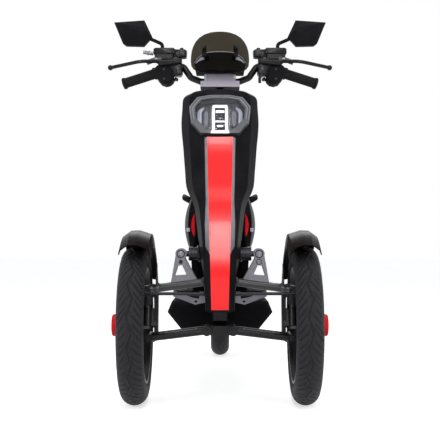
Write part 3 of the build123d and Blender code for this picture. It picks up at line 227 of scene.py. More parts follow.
finishes = {
    # Lacquered ABS: deep black with only a faint sheen, because its index is set far below the real one.
    "black_plastic": plastic("lacquered_black_abs", "#161618", "#1f1f22", 0.34, 9.0, 0.05, coat=0.0, index=1.045),
    # The mudguards are polished: smoother than the panels, so the little that they mirror has firmer edges.
    "gloss_black": plastic("polished_black_abs", "#131010", "#1b1716", 0.24, 12.0, 0.03, coat=0.01, index=1.09),
    # Spark-eroded polypropylene: no reflection that can be read, only a grey bloom at its edges.
    "matt_plastic": plastic("textured_polypropylene", "#151517", "#1d1d20", 0.6, 1.2, 0.12, index=1.1),
    # Red lacquer: smooth enough that the tall lamp's reflection washes its middle, while its turned edges stay red.
    "red_paint": plastic("red_lacquer", "#f20004", "#f80207", 0.22, 8.0, 0.02, coat=0.05, shine=0.36),
    # Red ABS, coloured in the mould and left unpainted: an even red with little gloss.
    "red_plastic": plastic("red_abs", "#c4121b", "#d51620", 0.4, 1.5, 0.06, index=1.2),
    # Painted grey ABS round the lamp. Its fine flake can't show at this distance and isn't drawn: a thin coat gives
    # its soft second highlight.
    "grey_plastic": plastic("flake_grey_abs", "#35353a", "#404046", 0.42, 2.0, 0.04, coat=0.15, shade_mm=30.0),
    # Paler paints on the small ribs and pods: light enough to read as edges inside dark housings.
    # On the bezel's steps, the stripe's bevels and the screen this pale grey is painted highlight and reflection.
    "rib_grey": plastic("satin_grey_rib_and_highlight", "#6a6a70", "#78787f", 0.4, 2.0, 0.03, shade_mm=30.0),
    "pod_pale": plastic("pearl_grey_abs", "#a9abba", "#b9bbc9", 0.4, 2.0, 0.03, coat=0.2, shade_mm=20.0),
    # Powder coat on steel and cast parts: thick, slightly rippled, half gloss. The grey one is dull.
    "frame_paint": plastic("black_powder_coat", "#0c0c0e", "#131315", 0.3, 2.2, 0.14, coat=0.04, index=1.28),
    "grey_paint": plastic("grey_powder_coat", "#938f9a", "#a19da8", 0.5, 2.0, 0.12),
    # Moulded rubber: no gloss to speak of, and a fine grain. The mat's is coarser and dusty.
    "grip_rubber": plastic("grip_rubber", "#121213", "#19191b", 0.66, 1.0, 0.2, shine=0.15),
    "mat_rubber": plastic("mat_rubber", "#1d1d20", "#27272b", 0.8, 1.4, 0.3, shine=0.3),
}
print(len(finishes), "plastic and paint finishes")

# %% [markdown]
# The rocker plates are welded to the upper arms, so both are one solid, but the plates are grey and the tubes
# black. The join is a straight line from the inner pivot to the outer one, so one mask does it: grey where a point
# lies more than a tube's radius above that line.

# %% Two paints on the upper arms
ARM_INNER, ARM_OUTER, TUBE_R = (0.045, 0.375), (0.222, 0.351), 0.0125
arm_paint, tree, shader, place = start("arm_paints", IOR=1.45, Coat_Weight=0.3, Coat_Roughness=0.12, Roughness=0.3)
axes = add(tree, "ShaderNodeSeparateXYZ", None, {0: place})
outward = add(tree, "ShaderNodeMath", {"operation": "ABSOLUTE"}, {0: axes.outputs["X"]})
fall = (ARM_OUTER[1] - ARM_INNER[1]) / (ARM_OUTER[0] - ARM_INNER[0])
line = add(tree, "ShaderNodeMath",
           {"operation": "MULTIPLY_ADD", 1: fall, 2: ARM_INNER[1] - fall * ARM_INNER[0] + TUBE_R},
           {0: outward.outputs[0]})
above = add(tree, "ShaderNodeMath", {"operation": "GREATER_THAN"}, {0: axes.outputs["Z"], 1: line.outputs[0]})
speckle = add(tree, "ShaderNodeTexNoise", {"Scale": 1 / (3 * MM), "Detail": 3.0}, {"Vector": place})
grey, black = (add(tree, "ShaderNodeValToRGB", {"stops": [(0.3, low), (0.7, high)]}, {"Fac": speckle.outputs["Fac"]})
               for low, high in (("#7a7680", "#88848e"), ("#0b0b0c", "#111112")))
both = add(tree, "ShaderNodeMix", {"data_type": "RGBA"},
           {0: above.outputs[0], 6: black.outputs["Color"], 7: grey.outputs["Color"]})
tree.links.new(both.outputs[2], shader.inputs["Base Color"])
bump = add(tree, "ShaderNodeBump", {"Strength": 0.5, "Distance": 0.1 * MM}, {"Height": speckle.outputs["Fac"]})
tree.links.new(bump.outputs["Normal"], shader.inputs["Normal"])
finishes["arm_paints"] = arm_paint
print("arm paints ready")

# %% [markdown]
# ## Cast and turned metal
#
# The wheels are cast aluminium under dark paint: the casting skin stays faintly lumpy. Steel parts are turned or
# ground, and the tool leaves fine marks. A wave texture draws them as shallow ridges some 4 mm apart, coarser than
# real ones so that they can show. They run round the vehicle's own cross axis, which is simpler than one centre
# for each piece and looks the same on parts this small.

# %% Metal finishes
RIDGE_SCALE = 1 / (12 * MM)


def metal(name, low, high, rough, metallic, lump_mm, depth_mm, rings=False):
    """low and high are the two tones of the surface; its height comes from lumps, or from tool marks if rings."""
    material, tree, shader, place = start(name, Metallic=metallic)
    lumps = add(tree, "ShaderNodeTexNoise", {"Scale": 1 / (lump_mm * MM), "Detail": 4.0}, {"Vector": place})
    tone = add(tree, "ShaderNodeValToRGB", {"stops": [(0.3, low), (0.7, high)]}, {"Fac": lumps.outputs["Fac"]})
    tree.links.new(tone.outputs["Color"], shader.inputs["Base Color"])
    height = lumps.outputs["Fac"]
    if rings:
        turned = add(tree, "ShaderNodeTexWave", {"wave_type": "RINGS", "rings_direction": "X",
                     "Scale": RIDGE_SCALE, "Distortion": 0.6, "Detail": 2.0}, {"Vector": place})
        height = turned.outputs["Fac"]
    bump = add(tree, "ShaderNodeBump", {"Strength": 0.5, "Distance": depth_mm * MM}, {"Height": height})
    tree.links.new(bump.outputs["Normal"], shader.inputs["Normal"])
    spread = add(tree, "ShaderNodeMapRange", {"To Min": rough * 0.8, "To Max": rough * 1.2},
                 {"Value": lumps.outputs["Fac"]})
    tree.links.new(spread.outputs["Result"], shader.inputs["Roughness"])
    return material


# Paint on a casting is half metal to the eye: dark, with a broad dull highlight. Ground steel is the brightest, zinc
# plate is darker and smoother, and blackened steel is nearly black. The mirror's silver is smooth and bright.
finishes["alloy"] = metal("painted_cast_aluminium", "#111113", "#19191c", 0.42, 0.3, 4.0, 0.1)
finishes["steel"] = metal("ground_steel", "#6c6c71", "#828287", 0.34, 1.0, 10.0, 0.03, rings=True)
finishes["bolt_steel"] = metal("dark_zinc", "#45454a", "#5a5a60", 0.32, 0.9, 5.0, 0.03)
finishes["dark_steel"] = metal("blackened_steel", "#19191c", "#242428", 0.34, 0.7, 6.0, 0.05)
finishes["silver"] = metal("satin_lilac_cover", "#8f8a97", "#a29dab", 0.42, 0.35, 3.0, 0.02)
finishes["mirror_glass"] = metal("silvered_glass", "#c4c8cc", "#d2d6da", 0.05, 1.0, 30.0, 0.001)
print("metal finishes ready")

# %% [markdown]
# ## Rubber, leathercloth and lens plastic
#
# Tyre rubber is carbon black with a dry bloom: nearly matt, in two close greys. The seat cover is embossed vinyl,
# whose pebbles a Voronoi cell pattern gives. Lenses are polycarbonate, clear, smoked or red. The clear and smoked
# ones have an index well below the real 1.58, so that the white room doesn't veil what lies behind them.

# %% Rubber and vinyl
tyre_rubber, tree, shader, place = start("tyre_rubber", IOR=1.5, Specular_IOR_Level=0.2)
dust = add(tree, "ShaderNodeTexNoise", {"Scale": 1 / (35 * MM), "Detail": 5.0, "Roughness": 0.6}, {"Vector": place})
tone = add(tree, "ShaderNodeValToRGB", {"stops": [(0.3, "#19191b"), (0.72, "#222225")]}, {"Fac": dust.outputs["Fac"]})
tree.links.new(tone.outputs["Color"], shader.inputs["Base Color"])
pores = add(tree, "ShaderNodeTexNoise", {"Scale": 1 / (1.6 * MM), "Detail": 2.0}, {"Vector": place})
bump = add(tree, "ShaderNodeBump", {"Strength": 0.5, "Distance": 0.15 * MM}, {"Height": pores.outputs["Fac"]})
tree.links.new(bump.outputs["Normal"], shader.inputs["Normal"])
spread = add(tree, "ShaderNodeMapRange", {"To Min": 0.58, "To Max": 0.78}, {"Value": dust.outputs["Fac"]})
tree.links.new(spread.outputs["Result"], shader.inputs["Roughness"])
finishes["tyre_rubber"] = tyre_rubber

seat_vinyl, tree, shader, place = start("seat_vinyl", IOR=1.35, Coat_Weight=0.08, Coat_Roughness=0.4)
# Pebbles are 1.5 mm on the real cover and are drawn at 3 mm, because finer ones can't show at this distance.
pebbles = add(tree, "ShaderNodeTexVoronoi", {"feature": "DISTANCE_TO_EDGE", "Scale": 1 / (3 * MM)}, {"Vector": place})
bed = add(tree, "ShaderNodeMapRange", {"From Max": 0.25}, {"Value": pebbles.outputs["Distance"]})
creases = add(tree, "ShaderNodeTexNoise", {"Scale": 1 / (60 * MM), "Detail": 4.0}, {"Vector": place})
tone = add(tree, "ShaderNodeValToRGB", {"stops": [(0.3, "#141416"), (0.7, "#1e1e21")]},
           {"Fac": creases.outputs["Fac"]})
tree.links.new(tone.outputs["Color"], shader.inputs["Base Color"])
bump = add(tree, "ShaderNodeBump", {"Strength": 0.5, "Distance": 0.3 * MM}, {"Height": bed.outputs["Result"]})
tree.links.new(bump.outputs["Normal"], shader.inputs["Normal"])
spread = add(tree, "ShaderNodeMapRange", {"To Min": 0.44, "To Max": 0.6}, {"Value": creases.outputs["Fac"]})
tree.links.new(spread.outputs["Result"], shader.inputs["Roughness"])
finishes["seat_cover"] = seat_vinyl
print("rubber and vinyl ready")


# %% Lens plastic
def lens(name, low, high, rough, through, glow=0.0, index=1.45):
    """Polycarbonate; through is how much light passes, and a moulding haze drifts between two tones."""
    material, tree, shader, place = start(name, IOR=index, Transmission_Weight=through)
    haze = add(tree, "ShaderNodeTexNoise", {"Scale": 1 / (50 * MM), "Detail": 2.0}, {"Vector": place})
    tone = add(tree, "ShaderNodeValToRGB", {"stops": [(0.3, low), (0.7, high)]}, {"Fac": haze.outputs["Fac"]})
    tree.links.new(tone.outputs["Color"], shader.inputs["Base Color"])
    spread = add(tree, "ShaderNodeMapRange", {"To Min": rough * 0.8, "To Max": rough * 1.3},
                 {"Value": haze.outputs["Fac"]})
    tree.links.new(spread.outputs["Result"], shader.inputs["Roughness"])
    if glow:
        tree.links.new(tone.outputs["Color"], shader.inputs["Emission Color"])
        shader.inputs["Emission Strength"].default_value = glow
    return material


finishes["lens_clear"] = lens("clear_polycarbonate", "#eef0f3", "#f8f9fb", 0.03, 0.98, index=1.08)
finishes["smoke_glass"] = lens("smoked_polycarbonate", "#3b372d", "#423d33", 0.05, 0.97, index=1.15)
finishes["lens_red"] = lens("red_polycarbonate", "#8c0a0e", "#a50d12", 0.12, 0.35)
# Opal light guides scatter their LEDs' light evenly, so they read as plain white bars.
finishes["light_guide"] = lens("lit_light_guide", "#f2f4f8", "#fbfcff", 0.4, 0.0, glow=0.55)
finishes["led"] = lens("lit_led", "#f6f7fa", "#ffffff", 0.4, 0.0, glow=0.9)
print(len(finishes), "finishes in all")

# %% [markdown]
# ## Finishes on the solids
#
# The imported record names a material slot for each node, so every node gets the finish of its slot. A few pieces
# share a slot but not a colour, and are named after that.

# %% Dress the solids
special = {"clamp_cover": "silver", "fender_left": "gloss_black", "fender_right": "gloss_black",
           "tie_rod_left": "dark_steel", "tie_rod_right": "dark_steel", "cross_shock": "dark_steel",
           "steering_column": "dark_steel", "upper_arms": "arm_paints", "instrument_pod": "matt_plastic"}
for part in frame["record"]["subparts"]:
    thing = nodes[part["node"]]
    thing.data.materials.clear()
    thing.data.materials.append(finishes[special.get(part["node"], part["material_slot"])])

# %% [markdown]
# ## Small tools for hard parts
#
# Hardware is made of flat plates, round rods and turned profiles. A plate is drawn in its own plane and its outer
# edges are rounded a little, because an edge with no radius never catches light and looks like paper.

# %% Mesh tools
def axes_at(origin, x_dir, y_dir):
    """Local axes at a place: outlines are drawn along x_dir and y_dir, and thickness runs along their cross."""
    x, y = Vector(x_dir).normalized(), Vector(y_dir).normalized()
    matrix = Matrix((x, y, x.cross(y))).transposed().to_4x4()
    matrix.translation = origin
    return matrix


def plate(bm, outline, low, high, at, bevel=0.0004):
    """A flat piece with a rounded front edge: an outline, and the heights of its two faces, in metres."""
    before = set(bm.verts)
    ring = [bm.verts.new((x, y, low)) for x, y in outline]
    grown = bmesh.ops.extrude_face_region(bm, geom=[bm.faces.new(ring)])["geom"]
    top = {g for g in grown if isinstance(g, bmesh.types.BMVert)}
    bmesh.ops.translate(bm, verts=list(top), vec=(0, 0, high - low))
    if bevel:
        rim = [e for e in bm.edges if e.verts[0] in top and e.verts[1] in top]
        bmesh.ops.bevel(bm, geom=rim, offset=bevel, segments=2, profile=0.5, affect="EDGES", material=-1)
    bmesh.ops.transform(bm, matrix=at, verts=[v for v in bm.verts if v not in before])


def band(bm, outer, inner, low, high, at, closed=True):
    """A flat frame between two outlines with as many points; open ends are capped."""
    before = set(bm.verts)
    rings = [[bm.verts.new((x, y, z)) for x, y in line] for line, z in
             ((outer, low), (outer, high), (inner, high), (inner, low))]
    count = len(outer)
    for i in range(count if closed else count - 1):
        j = (i + 1) % count
        for a, b in zip(rings, rings[1:] + rings[:1]):
            bm.faces.new((a[i], a[j], b[j], b[i]))
    if not closed:
        for end in (0, -1):
            bm.faces.new([ring[end] for ring in rings])
    bmesh.ops.transform(bm, matrix=at, verts=[v for v in bm.verts if v not in before])


def rod(bm, a, b, radius, end_radius=None, segments=20):
    """A round rod or a cone between two points."""
    a, b = Vector(a), Vector(b)
    turn = (b - a).to_track_quat("Z", "Y").to_matrix().to_4x4()
    bmesh.ops.create_cone(bm, cap_ends=True, segments=segments, radius1=radius,
                          radius2=radius if end_radius is None else end_radius, depth=(b - a).length,
                          matrix=Matrix.Translation((a + b) / 2) @ turn)


def bolt(bm, foot, axis, across):
    """A washer, a hexagon head and its chamfered top; across is the head's width over its corners."""
    foot, axis = Vector(foot), Vector(axis).normalized() * across
    rod(bm, foot, foot + axis * 0.12, across * 0.68, segments=24)
    rod(bm, foot + axis * 0.12, foot + axis * 0.5, across / 2, segments=6)
    rod(bm, foot + axis * 0.5, foot + axis * 0.57, across * 0.42, across * 0.33, segments=18)


def skinned(bm, rings):
    """Faces between rings of as many points each, and a face over each end."""
    count = len(rings[0])
    for a, b in zip(rings, rings[1:]):
        for k in range(count):
            bm.faces.new((a[k], a[(k + 1) % count], b[(k + 1) % count], b[k]))
    bm.faces.new(rings[0])
    bm.faces.new(rings[-1])


def swept(bm, points, radius, sides=10):
    """A round wire along a list of points, with closed ends."""
    points = [Vector(p) for p in points]
    rings = []
    normal = None
    for i, point in enumerate(points):
        run = (points[min(i + 1, len(points) - 1)] - points[max(i - 1, 0)]).normalized()
        normal = run.orthogonal() if normal is None else normal - run * normal.dot(run)
        normal.normalize()
        across = run.cross(normal)
        turns = [2 * math.pi * k / sides for k in range(sides)]
        rings.append([bm.verts.new(point + (normal * math.cos(t) + across * math.sin(t)) * radius) for t in turns])
    skinned(bm, rings)


def finished(bm, name, sharp=35):
    """The mesh of a piece: its normals outwards, smooth but for its real edges."""
    bmesh.ops.recalc_face_normals(bm, faces=bm.faces)
    for face in bm.faces:
        face.smooth = True
    mesh = bpy.data.meshes.new(name)
    bm.to_mesh(mesh)
    bm.free()
    mesh.set_sharp_from_angle(angle=math.radians(sharp))
    return mesh


def place_piece(mesh, body, slot, finish, *replaced):
    """Adds a finished mesh as a piece that rides on a body."""
    mesh.materials.append(finishes[finish])
    piece = bpy.data.objects.new(mesh.name, mesh)
    bpy.context.scene.collection.objects.link(piece)
    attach(piece, body)
    if replaced:
        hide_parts(*replaced)
    return piece


def mm(points):
    """Points given in millimetres, in metres."""
    return [(x * MM, y * MM) for x, y in points]


def mirrored(points):
    """The right half of an outline, then its left half."""
    return list(points) + [(-x, y) for x, y in reversed(points)]


def surface(node):
    """A node's faces as a search tree, for finding where things sit on it."""
    mesh = nodes[node].data
    return BVHTree.FromPolygons([v.co for v in mesh.vertices], [p.vertices for p in mesh.polygons])


FAR_AHEAD = -2.0


def on_front(tree, x, z):
    """The y at which a surface is first met, at x and z, by a ray that runs backwards from far ahead."""
    hit = tree.ray_cast(Vector((x, FAR_AHEAD, z)), Vector((0, 1, 0)))[0]
    return hit.y if hit else None


# A piece drawn as seen from the front, and one drawn as seen from above.
FACING_FRONT, FACING_UP = ((1, 0, 0), (0, 0, 1)), ((1, 0, 0), (0, 1, 0))
print("mesh tools ready")

# %% [markdown]
# ## The headlight's inside
#
# Behind the clear lens stands a tall light guide round two square projectors, and a pale pod on each side. All of
# it is drawn in the lamp's own plane, which leans back, and is stacked between the lens and the bezel's floor.

# %% Lamp internals
LAMP_TILT = math.radians(20)
LAMP_PLACE = Vector((0, -0.641, 0.898))
lamp_axes = axes_at(LAMP_PLACE, (1, 0, 0), (0, math.sin(LAMP_TILT), math.cos(LAMP_TILT)))
LENS_EDGE = [(38, -58), (76, -14), (79, 24), (60, 50), (26, 57)]
BEZEL_EDGE = [(92, -20), (97, 26), (72, 60), (30, 68)]
GUIDE_X, GUIDE_WIDTH = 24.2, 7.6
GUIDE_LOW, GUIDE_TOP = -57, 42
# name, finish, height of its back and front face out of the lens's plane, and its right-hand or middle outlines
LAMP_LAYERS = [
    ("lamp_back", "grey_plastic", -27.8, -24, [mirrored([(x * 0.99, y * 0.99) for x, y in LENS_EDGE])]),
    ("lamp_windows", "black_plastic", -24, -20, [mirrored([(16.6, -52), (16.6, -16)]),
                                                 mirrored([(16.6, -13.8), (16.6, 36)])]),
    ("lamp_leds", "led", -20, -18.5, [mirrored([(9.8, -31), (9.8, -26.5)]), mirrored([(13.7, 18), (13.7, 26)])]),
    ("lamp_guide", "light_guide", -24, -12, [
        mirrored([(GUIDE_X, 36), (GUIDE_X, 38), (GUIDE_X - 4, GUIDE_TOP)]),
        mirrored([(16.6, -16), (16.6, -13.8)]),
        mirrored([(30, GUIDE_LOW), (25, -52)]),
    ]),
    # The guide's foot reaches past the lens's edge, so its end lies on the rim.
    ("lamp_foot", "light_guide", 5.0, 7.2, [mirrored([(29, -67), (26, -57.5)])]),
]
LAMP_SIDES = [
    ("lamp_guide", "light_guide", -24, -12, [(GUIDE_X - GUIDE_WIDTH, -52), (GUIDE_X, -52), (GUIDE_X, 36),
                                             (GUIDE_X - GUIDE_WIDTH, 36)]),
    ("lamp_columns", "rib_grey", -24, -14, [(25.4, -54), (29.4, -54), (29.4, 37), (25.4, 39)]),
    ("lamp_pods", "pod_pale", -24, -12, [(44, -44), (40, -54), (71, -18), (72, 12), (67, 24), (52, 34), (50, 32),
                                         (59, 20), (58, -30)]),
    ("lamp_slots", "rib_grey", -24, -15, [(38, -24), (44, -34), (51, -28), (51, 14), (43, 24), (38, 16)]),
]
parts = {}
for name, finish, low, high, outlines in LAMP_LAYERS:
    bm = parts.setdefault((name, finish), bmesh.new())
    for outline in outlines:
        plate(bm, mm(outline), low * MM, high * MM, lamp_axes)
for name, finish, low, high, outline in LAMP_SIDES:
    bm = parts.setdefault((name, finish), bmesh.new())
    for side in (-1, 1):
        plate(bm, mm([(side * x, y) for x, y in outline]), low * MM, high * MM, lamp_axes)
for (name, finish), bm in parts.items():
    place_piece(finished(bm, name), "chassis", "grey_plastic", finish)

# Two raised steps run round the top of the bezel, in pale grey: a painted highlight along each step.
bm = bmesh.new()
for outer, inner, low, high in ((0.992, 0.968, 5.5, 7.4), (0.905, 0.88, 5.5, 6.8)):
    lines = [[(x * scale * MM, y * scale * MM) for x, y in mirrored(BEZEL_EDGE)] for scale in (outer, inner)]
    band(bm, *lines, low * MM, high * MM, lamp_axes, closed=False)
place_piece(finished(bm, "bezel_step_highlights"), "chassis", "grey_plastic", "rib_grey")
print(len(parts), "layers in the lamp")

# %% [markdown]
# ## Edges beside the red stripe
#
# The stripe lies in a shallow channel, and the pale line on each of its two bevels is a painted highlight.
# Rays cast at the real surfaces find the stripe's edge and the fairing beside it, level by level.

# %% Channel bevels
EDGE_WIDTH, EDGE_PROUD, EDGE_GAP, EDGE_LIP = 0.008, 0.0006, 0.0003, 0.0015
EDGE_LOW, EDGE_HIGH, EDGE_STEPS = 0.462, 0.824, 50


def edge_width(z):
    """A bevel's pale strip of painted highlight is broad low down and runs out to nothing at its foot."""
    return EDGE_WIDTH + 0.005 * max(0, min(1, (0.63 - z) / 0.08)) - 0.0125 * max(0, (0.482 - z) / 0.02)


stripe_faces, fairing_faces = surface("fairing_stripe"), surface("front_fairing")
bm = bmesh.new()
for side in (-1, 1):
    rings = []
    for step in range(EDGE_STEPS + 1):
        z = EDGE_LOW + (EDGE_HIGH - EDGE_LOW) * step / EDGE_STEPS
        front = on_front(stripe_faces, 0, z)
        edge = stripe_faces.ray_cast(Vector((side * 0.3, front + 0.001, z)), Vector((-side, 0, 0)))[0]
        inner_x, outer_x = edge.x + side * EDGE_GAP, edge.x + side * edge_width(z)
        beside, under = on_front(fairing_faces, outer_x, z), on_front(fairing_faces, inner_x, z)
        rings.append([bm.verts.new((x, y, z)) for x, y in (
            (inner_x, under), (inner_x, front - EDGE_PROUD), (inner_x + side * EDGE_LIP, front - EDGE_PROUD),
            (outer_x, beside - EDGE_PROUD), (outer_x, beside + EDGE_PROUD))])
    skinned(bm, rings)
# Pale grey laid on the black fairing's bevels: a painted highlight.
place_piece(finished(bm, "stripe_bevel_highlights"), "chassis", "black_plastic", "rib_grey")
print("bevels from", EDGE_LOW, "to", EDGE_HIGH, "m")

# %% [markdown]
# ## The smoked screen
#
# The screen in front of the instruments is a sheet of smoked plastic, bent round a leaning axis. It could be a
# solid that is cut by an outline, but a thin sheet is easier as a grid: bmesh makes a flat grid, each point is
# moved to the outline's width at its height and laid on the bent surface, and Solidify's operator gives it thickness.
# Across its lower half, a pale line and two pale patches lie on the sheet: a painted highlight and painted
# reflections.

# %% Screen
SCREEN_EDGE = [(0.074, 1.056), (0.087, 1.064), (0.0945, 1.077), (0.0965, 1.096), (0.0960, 1.114), (0.0935, 1.132),
               (0.089, 1.147), (0.081, 1.162), (0.069, 1.175), (0.052, 1.185), (0.030, 1.1915), (0.010, 1.193)]
SCREEN_RADIUS, SCREEN_LEAN, SCREEN_THICK = 0.150, math.radians(20), 0.0028
SCREEN_AXIS_Y, SCREEN_AXIS_Z, SCREEN_COLUMNS = -0.397, 1.060, 24


def screen_point(x, z):
    """A point of the bent sheet, from its place as seen from the front."""
    depth = -math.sqrt(SCREEN_RADIUS ** 2 - x ** 2) + (z - SCREEN_AXIS_Z) * math.sin(SCREEN_LEAN)
    return Vector((x, SCREEN_AXIS_Y + depth / math.cos(SCREEN_LEAN), z))


bm = bmesh.new()
bmesh.ops.create_grid(bm, x_segments=SCREEN_COLUMNS, y_segments=len(SCREEN_EDGE) - 1, size=0.5)
for vertex in bm.verts:
    half, z = SCREEN_EDGE[round((vertex.co.y + 0.5) * (len(SCREEN_EDGE) - 1))]
    vertex.co = screen_point(half * 2 * vertex.co.x, z)
bmesh.ops.recalc_face_normals(bm, faces=bm.faces)
bmesh.ops.solidify(bm, geom=list(bm.faces), thickness=SCREEN_THICK)
place_piece(finished(bm, "smoked_screen", sharp=50), "steering", "smoke_glass", "smoke_glass", "visor")
print("screen from", SCREEN_EDGE[0][1], "to", SCREEN_EDGE[-1][1], "m")

# %% Painted highlight and reflections, window and bolts
HIGHLIGHT_LINE = [(0.084, 1.086), (0.074, 1.101), (0.058, 1.113), (0.042, 1.119), (0.02, 1.1205), (0, 1.121)]
HIGHLIGHT_RADIUS, HIGHLIGHT_PROUD = 0.0013, 0.0012
REFLECTION_PATCH = [(0.050, 1.096), (0.057, 1.108), (0.076, 1.092), (0.080, 1.082), (0.070, 1.090)]
REFLECTION_PROUD, REFLECTION_SUNK = 0.0022, 0.0005
BOLT_X, BOLT_Z, BOLT_ACROSS = 0.053, 1.140, 0.009


def off_screen(x, z, back):
    """A point that lies behind the sheet's bent middle by back, or in front of it where back is negative."""
    return screen_point(x, z) + Vector((0, back, 0))


# The pale line is a painted highlight, and the two pale patches are painted reflections.
bm = bmesh.new()
both_halves = HIGHLIGHT_LINE + [(-x, z) for x, z in reversed(HIGHLIGHT_LINE[:-1])]
swept(bm, [off_screen(x, z, -HIGHLIGHT_PROUD) for x, z in both_halves], HIGHLIGHT_RADIUS)
for side in (-1, 1):
    front, rear = ([bm.verts.new(off_screen(side * x, z, back)) for x, z in REFLECTION_PATCH]
                   for back in (-REFLECTION_PROUD, REFLECTION_SUNK))
    bm.faces.new(front)
    bm.faces.new(list(reversed(rear)))
    for k in range(len(REFLECTION_PATCH)):
        after = (k + 1) % len(REFLECTION_PATCH)
        bm.faces.new((front[k], rear[k], rear[after], front[after]))
place_piece(finished(bm, "screen_painted_highlights"), "steering", "grey_plastic", "rib_grey")

# The dark display window sits on the front of the instruments' pod, behind the screen.
window = bmesh.new()
window_y = on_front(surface("instrument_pod"), 0, 1.09) - 0.0016
plate(window, mirrored([(0.017, 1.0665), (0.019, 1.098)]), -0.003, 0.001, axes_at((0, window_y, 0), *FACING_FRONT))
place_piece(finished(window, "pod_window"), "steering", "black_plastic", "dark_steel")

bm = bmesh.new()
for side in (-1, 1):
    foot = screen_point(side * BOLT_X, BOLT_Z)
    bolt(bm, off_screen(side * BOLT_X, BOLT_Z, -0.0006), foot - Vector((0, SCREEN_AXIS_Y, BOLT_Z)), BOLT_ACROSS)
place_piece(finished(bm, "screen_bolts"), "steering", "frame_paint", "dark_steel")
print("window at", round(window_y, 3), "m")

# %% [markdown]
# ## Controls on the bar
#
# Each side of the bar carries one dark mass: a reservoir with a lid and screws, the block that clamps it, the switch
# housing with its buttons, and a lever in its bracket. They are drawn from the front, in one table of outlines for
# one side, and a loop makes both. Bevels do the rest, because the real ones are moulded and cast.

# %% Reservoirs, clamps and switches
# name, finish, outline from the front, its back and front along y, and its rounding, all in mm
CONTROLS = [
    ("reservoir_lids", "frame_paint", [(149, 1130), (151, 1127), (221, 1127), (223, 1131), (222, 1144), (216, 1147.5),
                                       (158, 1147.5), (150, 1143)], -426, -474, 2.5),
    ("cylinder_blocks", "frame_paint", [(112, 1120), (118, 1117), (154, 1117), (154, 1143), (118, 1143), (111, 1138)],
     -428, -470, 3),
    ("cylinder_arms", "frame_paint", [(128, 1096), (200, 1090), (212, 1100), (206, 1118), (150, 1120), (128, 1116)],
     -428, -466, 4),
    ("bar_clamps", "frame_paint", [(126, 1066), (132, 1058), (166, 1060), (176, 1096), (150, 1104), (126, 1098)],
     -408, -452, 4),
    ("switch_shells", "matt_plastic", [(156, 1054), (158, 1040), (168, 1031), (182, 1027.5), (197, 1032), (209, 1046),
                                       (218, 1062), (222, 1080), (212, 1092), (192, 1097), (170, 1092), (157, 1076)],
     -392, -456, 7),
]
for name, finish, outline, back, front, rounding in CONTROLS:
    bm = bmesh.new()
    for side in (-1, 1):
        at = axes_at((0, 0, 0), (side, 0, 0), (0, 0, 1))
        plate(bm, mm(outline), (side * back) * -MM, (side * front) * -MM, at, bevel=rounding * MM)
    place_piece(finished(bm, name, sharp=50), "steering", finish, finish)
print(len(CONTROLS), "pairs of housings")

# %% Screws, buttons and lever pins
UP, DOWN, AHEAD = (0, 0, 1), (0, 0, -1), (0, -1, 0)
# place on the left side, direction and width of each screw: lids, reservoir, cylinder, clamp and switches
CONTROL_SCREWS = [((0.158, -0.450, 1.1475), UP, 0.007), ((0.214, -0.450, 1.1475), UP, 0.007),
                  ((0.129, -0.449, 1.143), UP, 0.014), ((0.139, -0.470, 1.128), AHEAD, 0.011),
                  ((0.137, -0.452, 1.070), AHEAD, 0.009), ((0.137, -0.452, 1.092), AHEAD, 0.009),
                  ((0.188, -0.456, 1.046), AHEAD, 0.006), ((0.188, -0.456, 1.078), AHEAD, 0.006)]
LEVER_PIN = ((0.212, -0.470, 1.113), DOWN, 0.010)
# two ends of each button on the left side, and the radius of its foot and of its face
BUTTONS = [((0.152, -0.425, 1.050), (0.144, -0.420, 1.048), 0.007, 0.0055),
           ((0.153, -0.415, 1.066), (0.146, -0.411, 1.065), 0.0055, 0.0045)]
LEVER_ROOT = [(0.196, 1.112), (0.214, 1.110), (0.232, 1.104), (0.246, 1.099)]
LEVER_ROOT_Y, LEVER_ROOT_R, PADDLE_R = -0.462, 0.0085, 0.0052
PADDLE = [(0.146, -0.446, 1.074), (0.138, -0.450, 1.062), (0.133, -0.452, 1.046), (0.134, -0.450, 1.032)]


def on_side(side, point):
    """A point of the left side, or its mirror image on the right."""
    return (side * point[0], point[1], point[2])


buttons, dark, bright = bmesh.new(), bmesh.new(), bmesh.new()
for side in (-1, 1):
    for foot, axis, across in CONTROL_SCREWS:
        bolt(dark, on_side(side, foot), axis, across)
    bolt(bright, on_side(side, LEVER_PIN[0]), *LEVER_PIN[1:])
    for foot, face, *radii in BUTTONS:
        rod(buttons, on_side(side, foot), on_side(side, face), *radii)
    swept(buttons, [(side * x, LEVER_ROOT_Y, z) for x, z in LEVER_ROOT], LEVER_ROOT_R, 14)
# One bright peg with a ring on the right-hand side, and the paddle lever on the left.
rod(bright, (-0.224, -0.452, 1.131), (-0.258, -0.452, 1.136), 0.0062)
rod(bright, (-0.238, -0.452, 1.133), (-0.241, -0.452, 1.134), 0.0085)
swept(dark, PADDLE, PADDLE_R, 12)
place_piece(finished(buttons, "switch_buttons"), "steering", "matt_plastic", "grey_plastic")
place_piece(finished(dark, "control_screws"), "steering", "frame_paint", "dark_steel")
place_piece(finished(bright, "lever_pins"), "steering", "steel", "steel")
print(len(CONTROL_SCREWS), "screws on each side")

# %% [markdown]
# ## Rings on the grips
#
# A rubber grip is moulded with raised rings that keep a hand from slipping. They could be a bump in the finish, but
# rings of this size break the grip's outline, so each is a thin disc round the grip's own axis. The axis is read
# from the grip's ends, because the bar is bent.

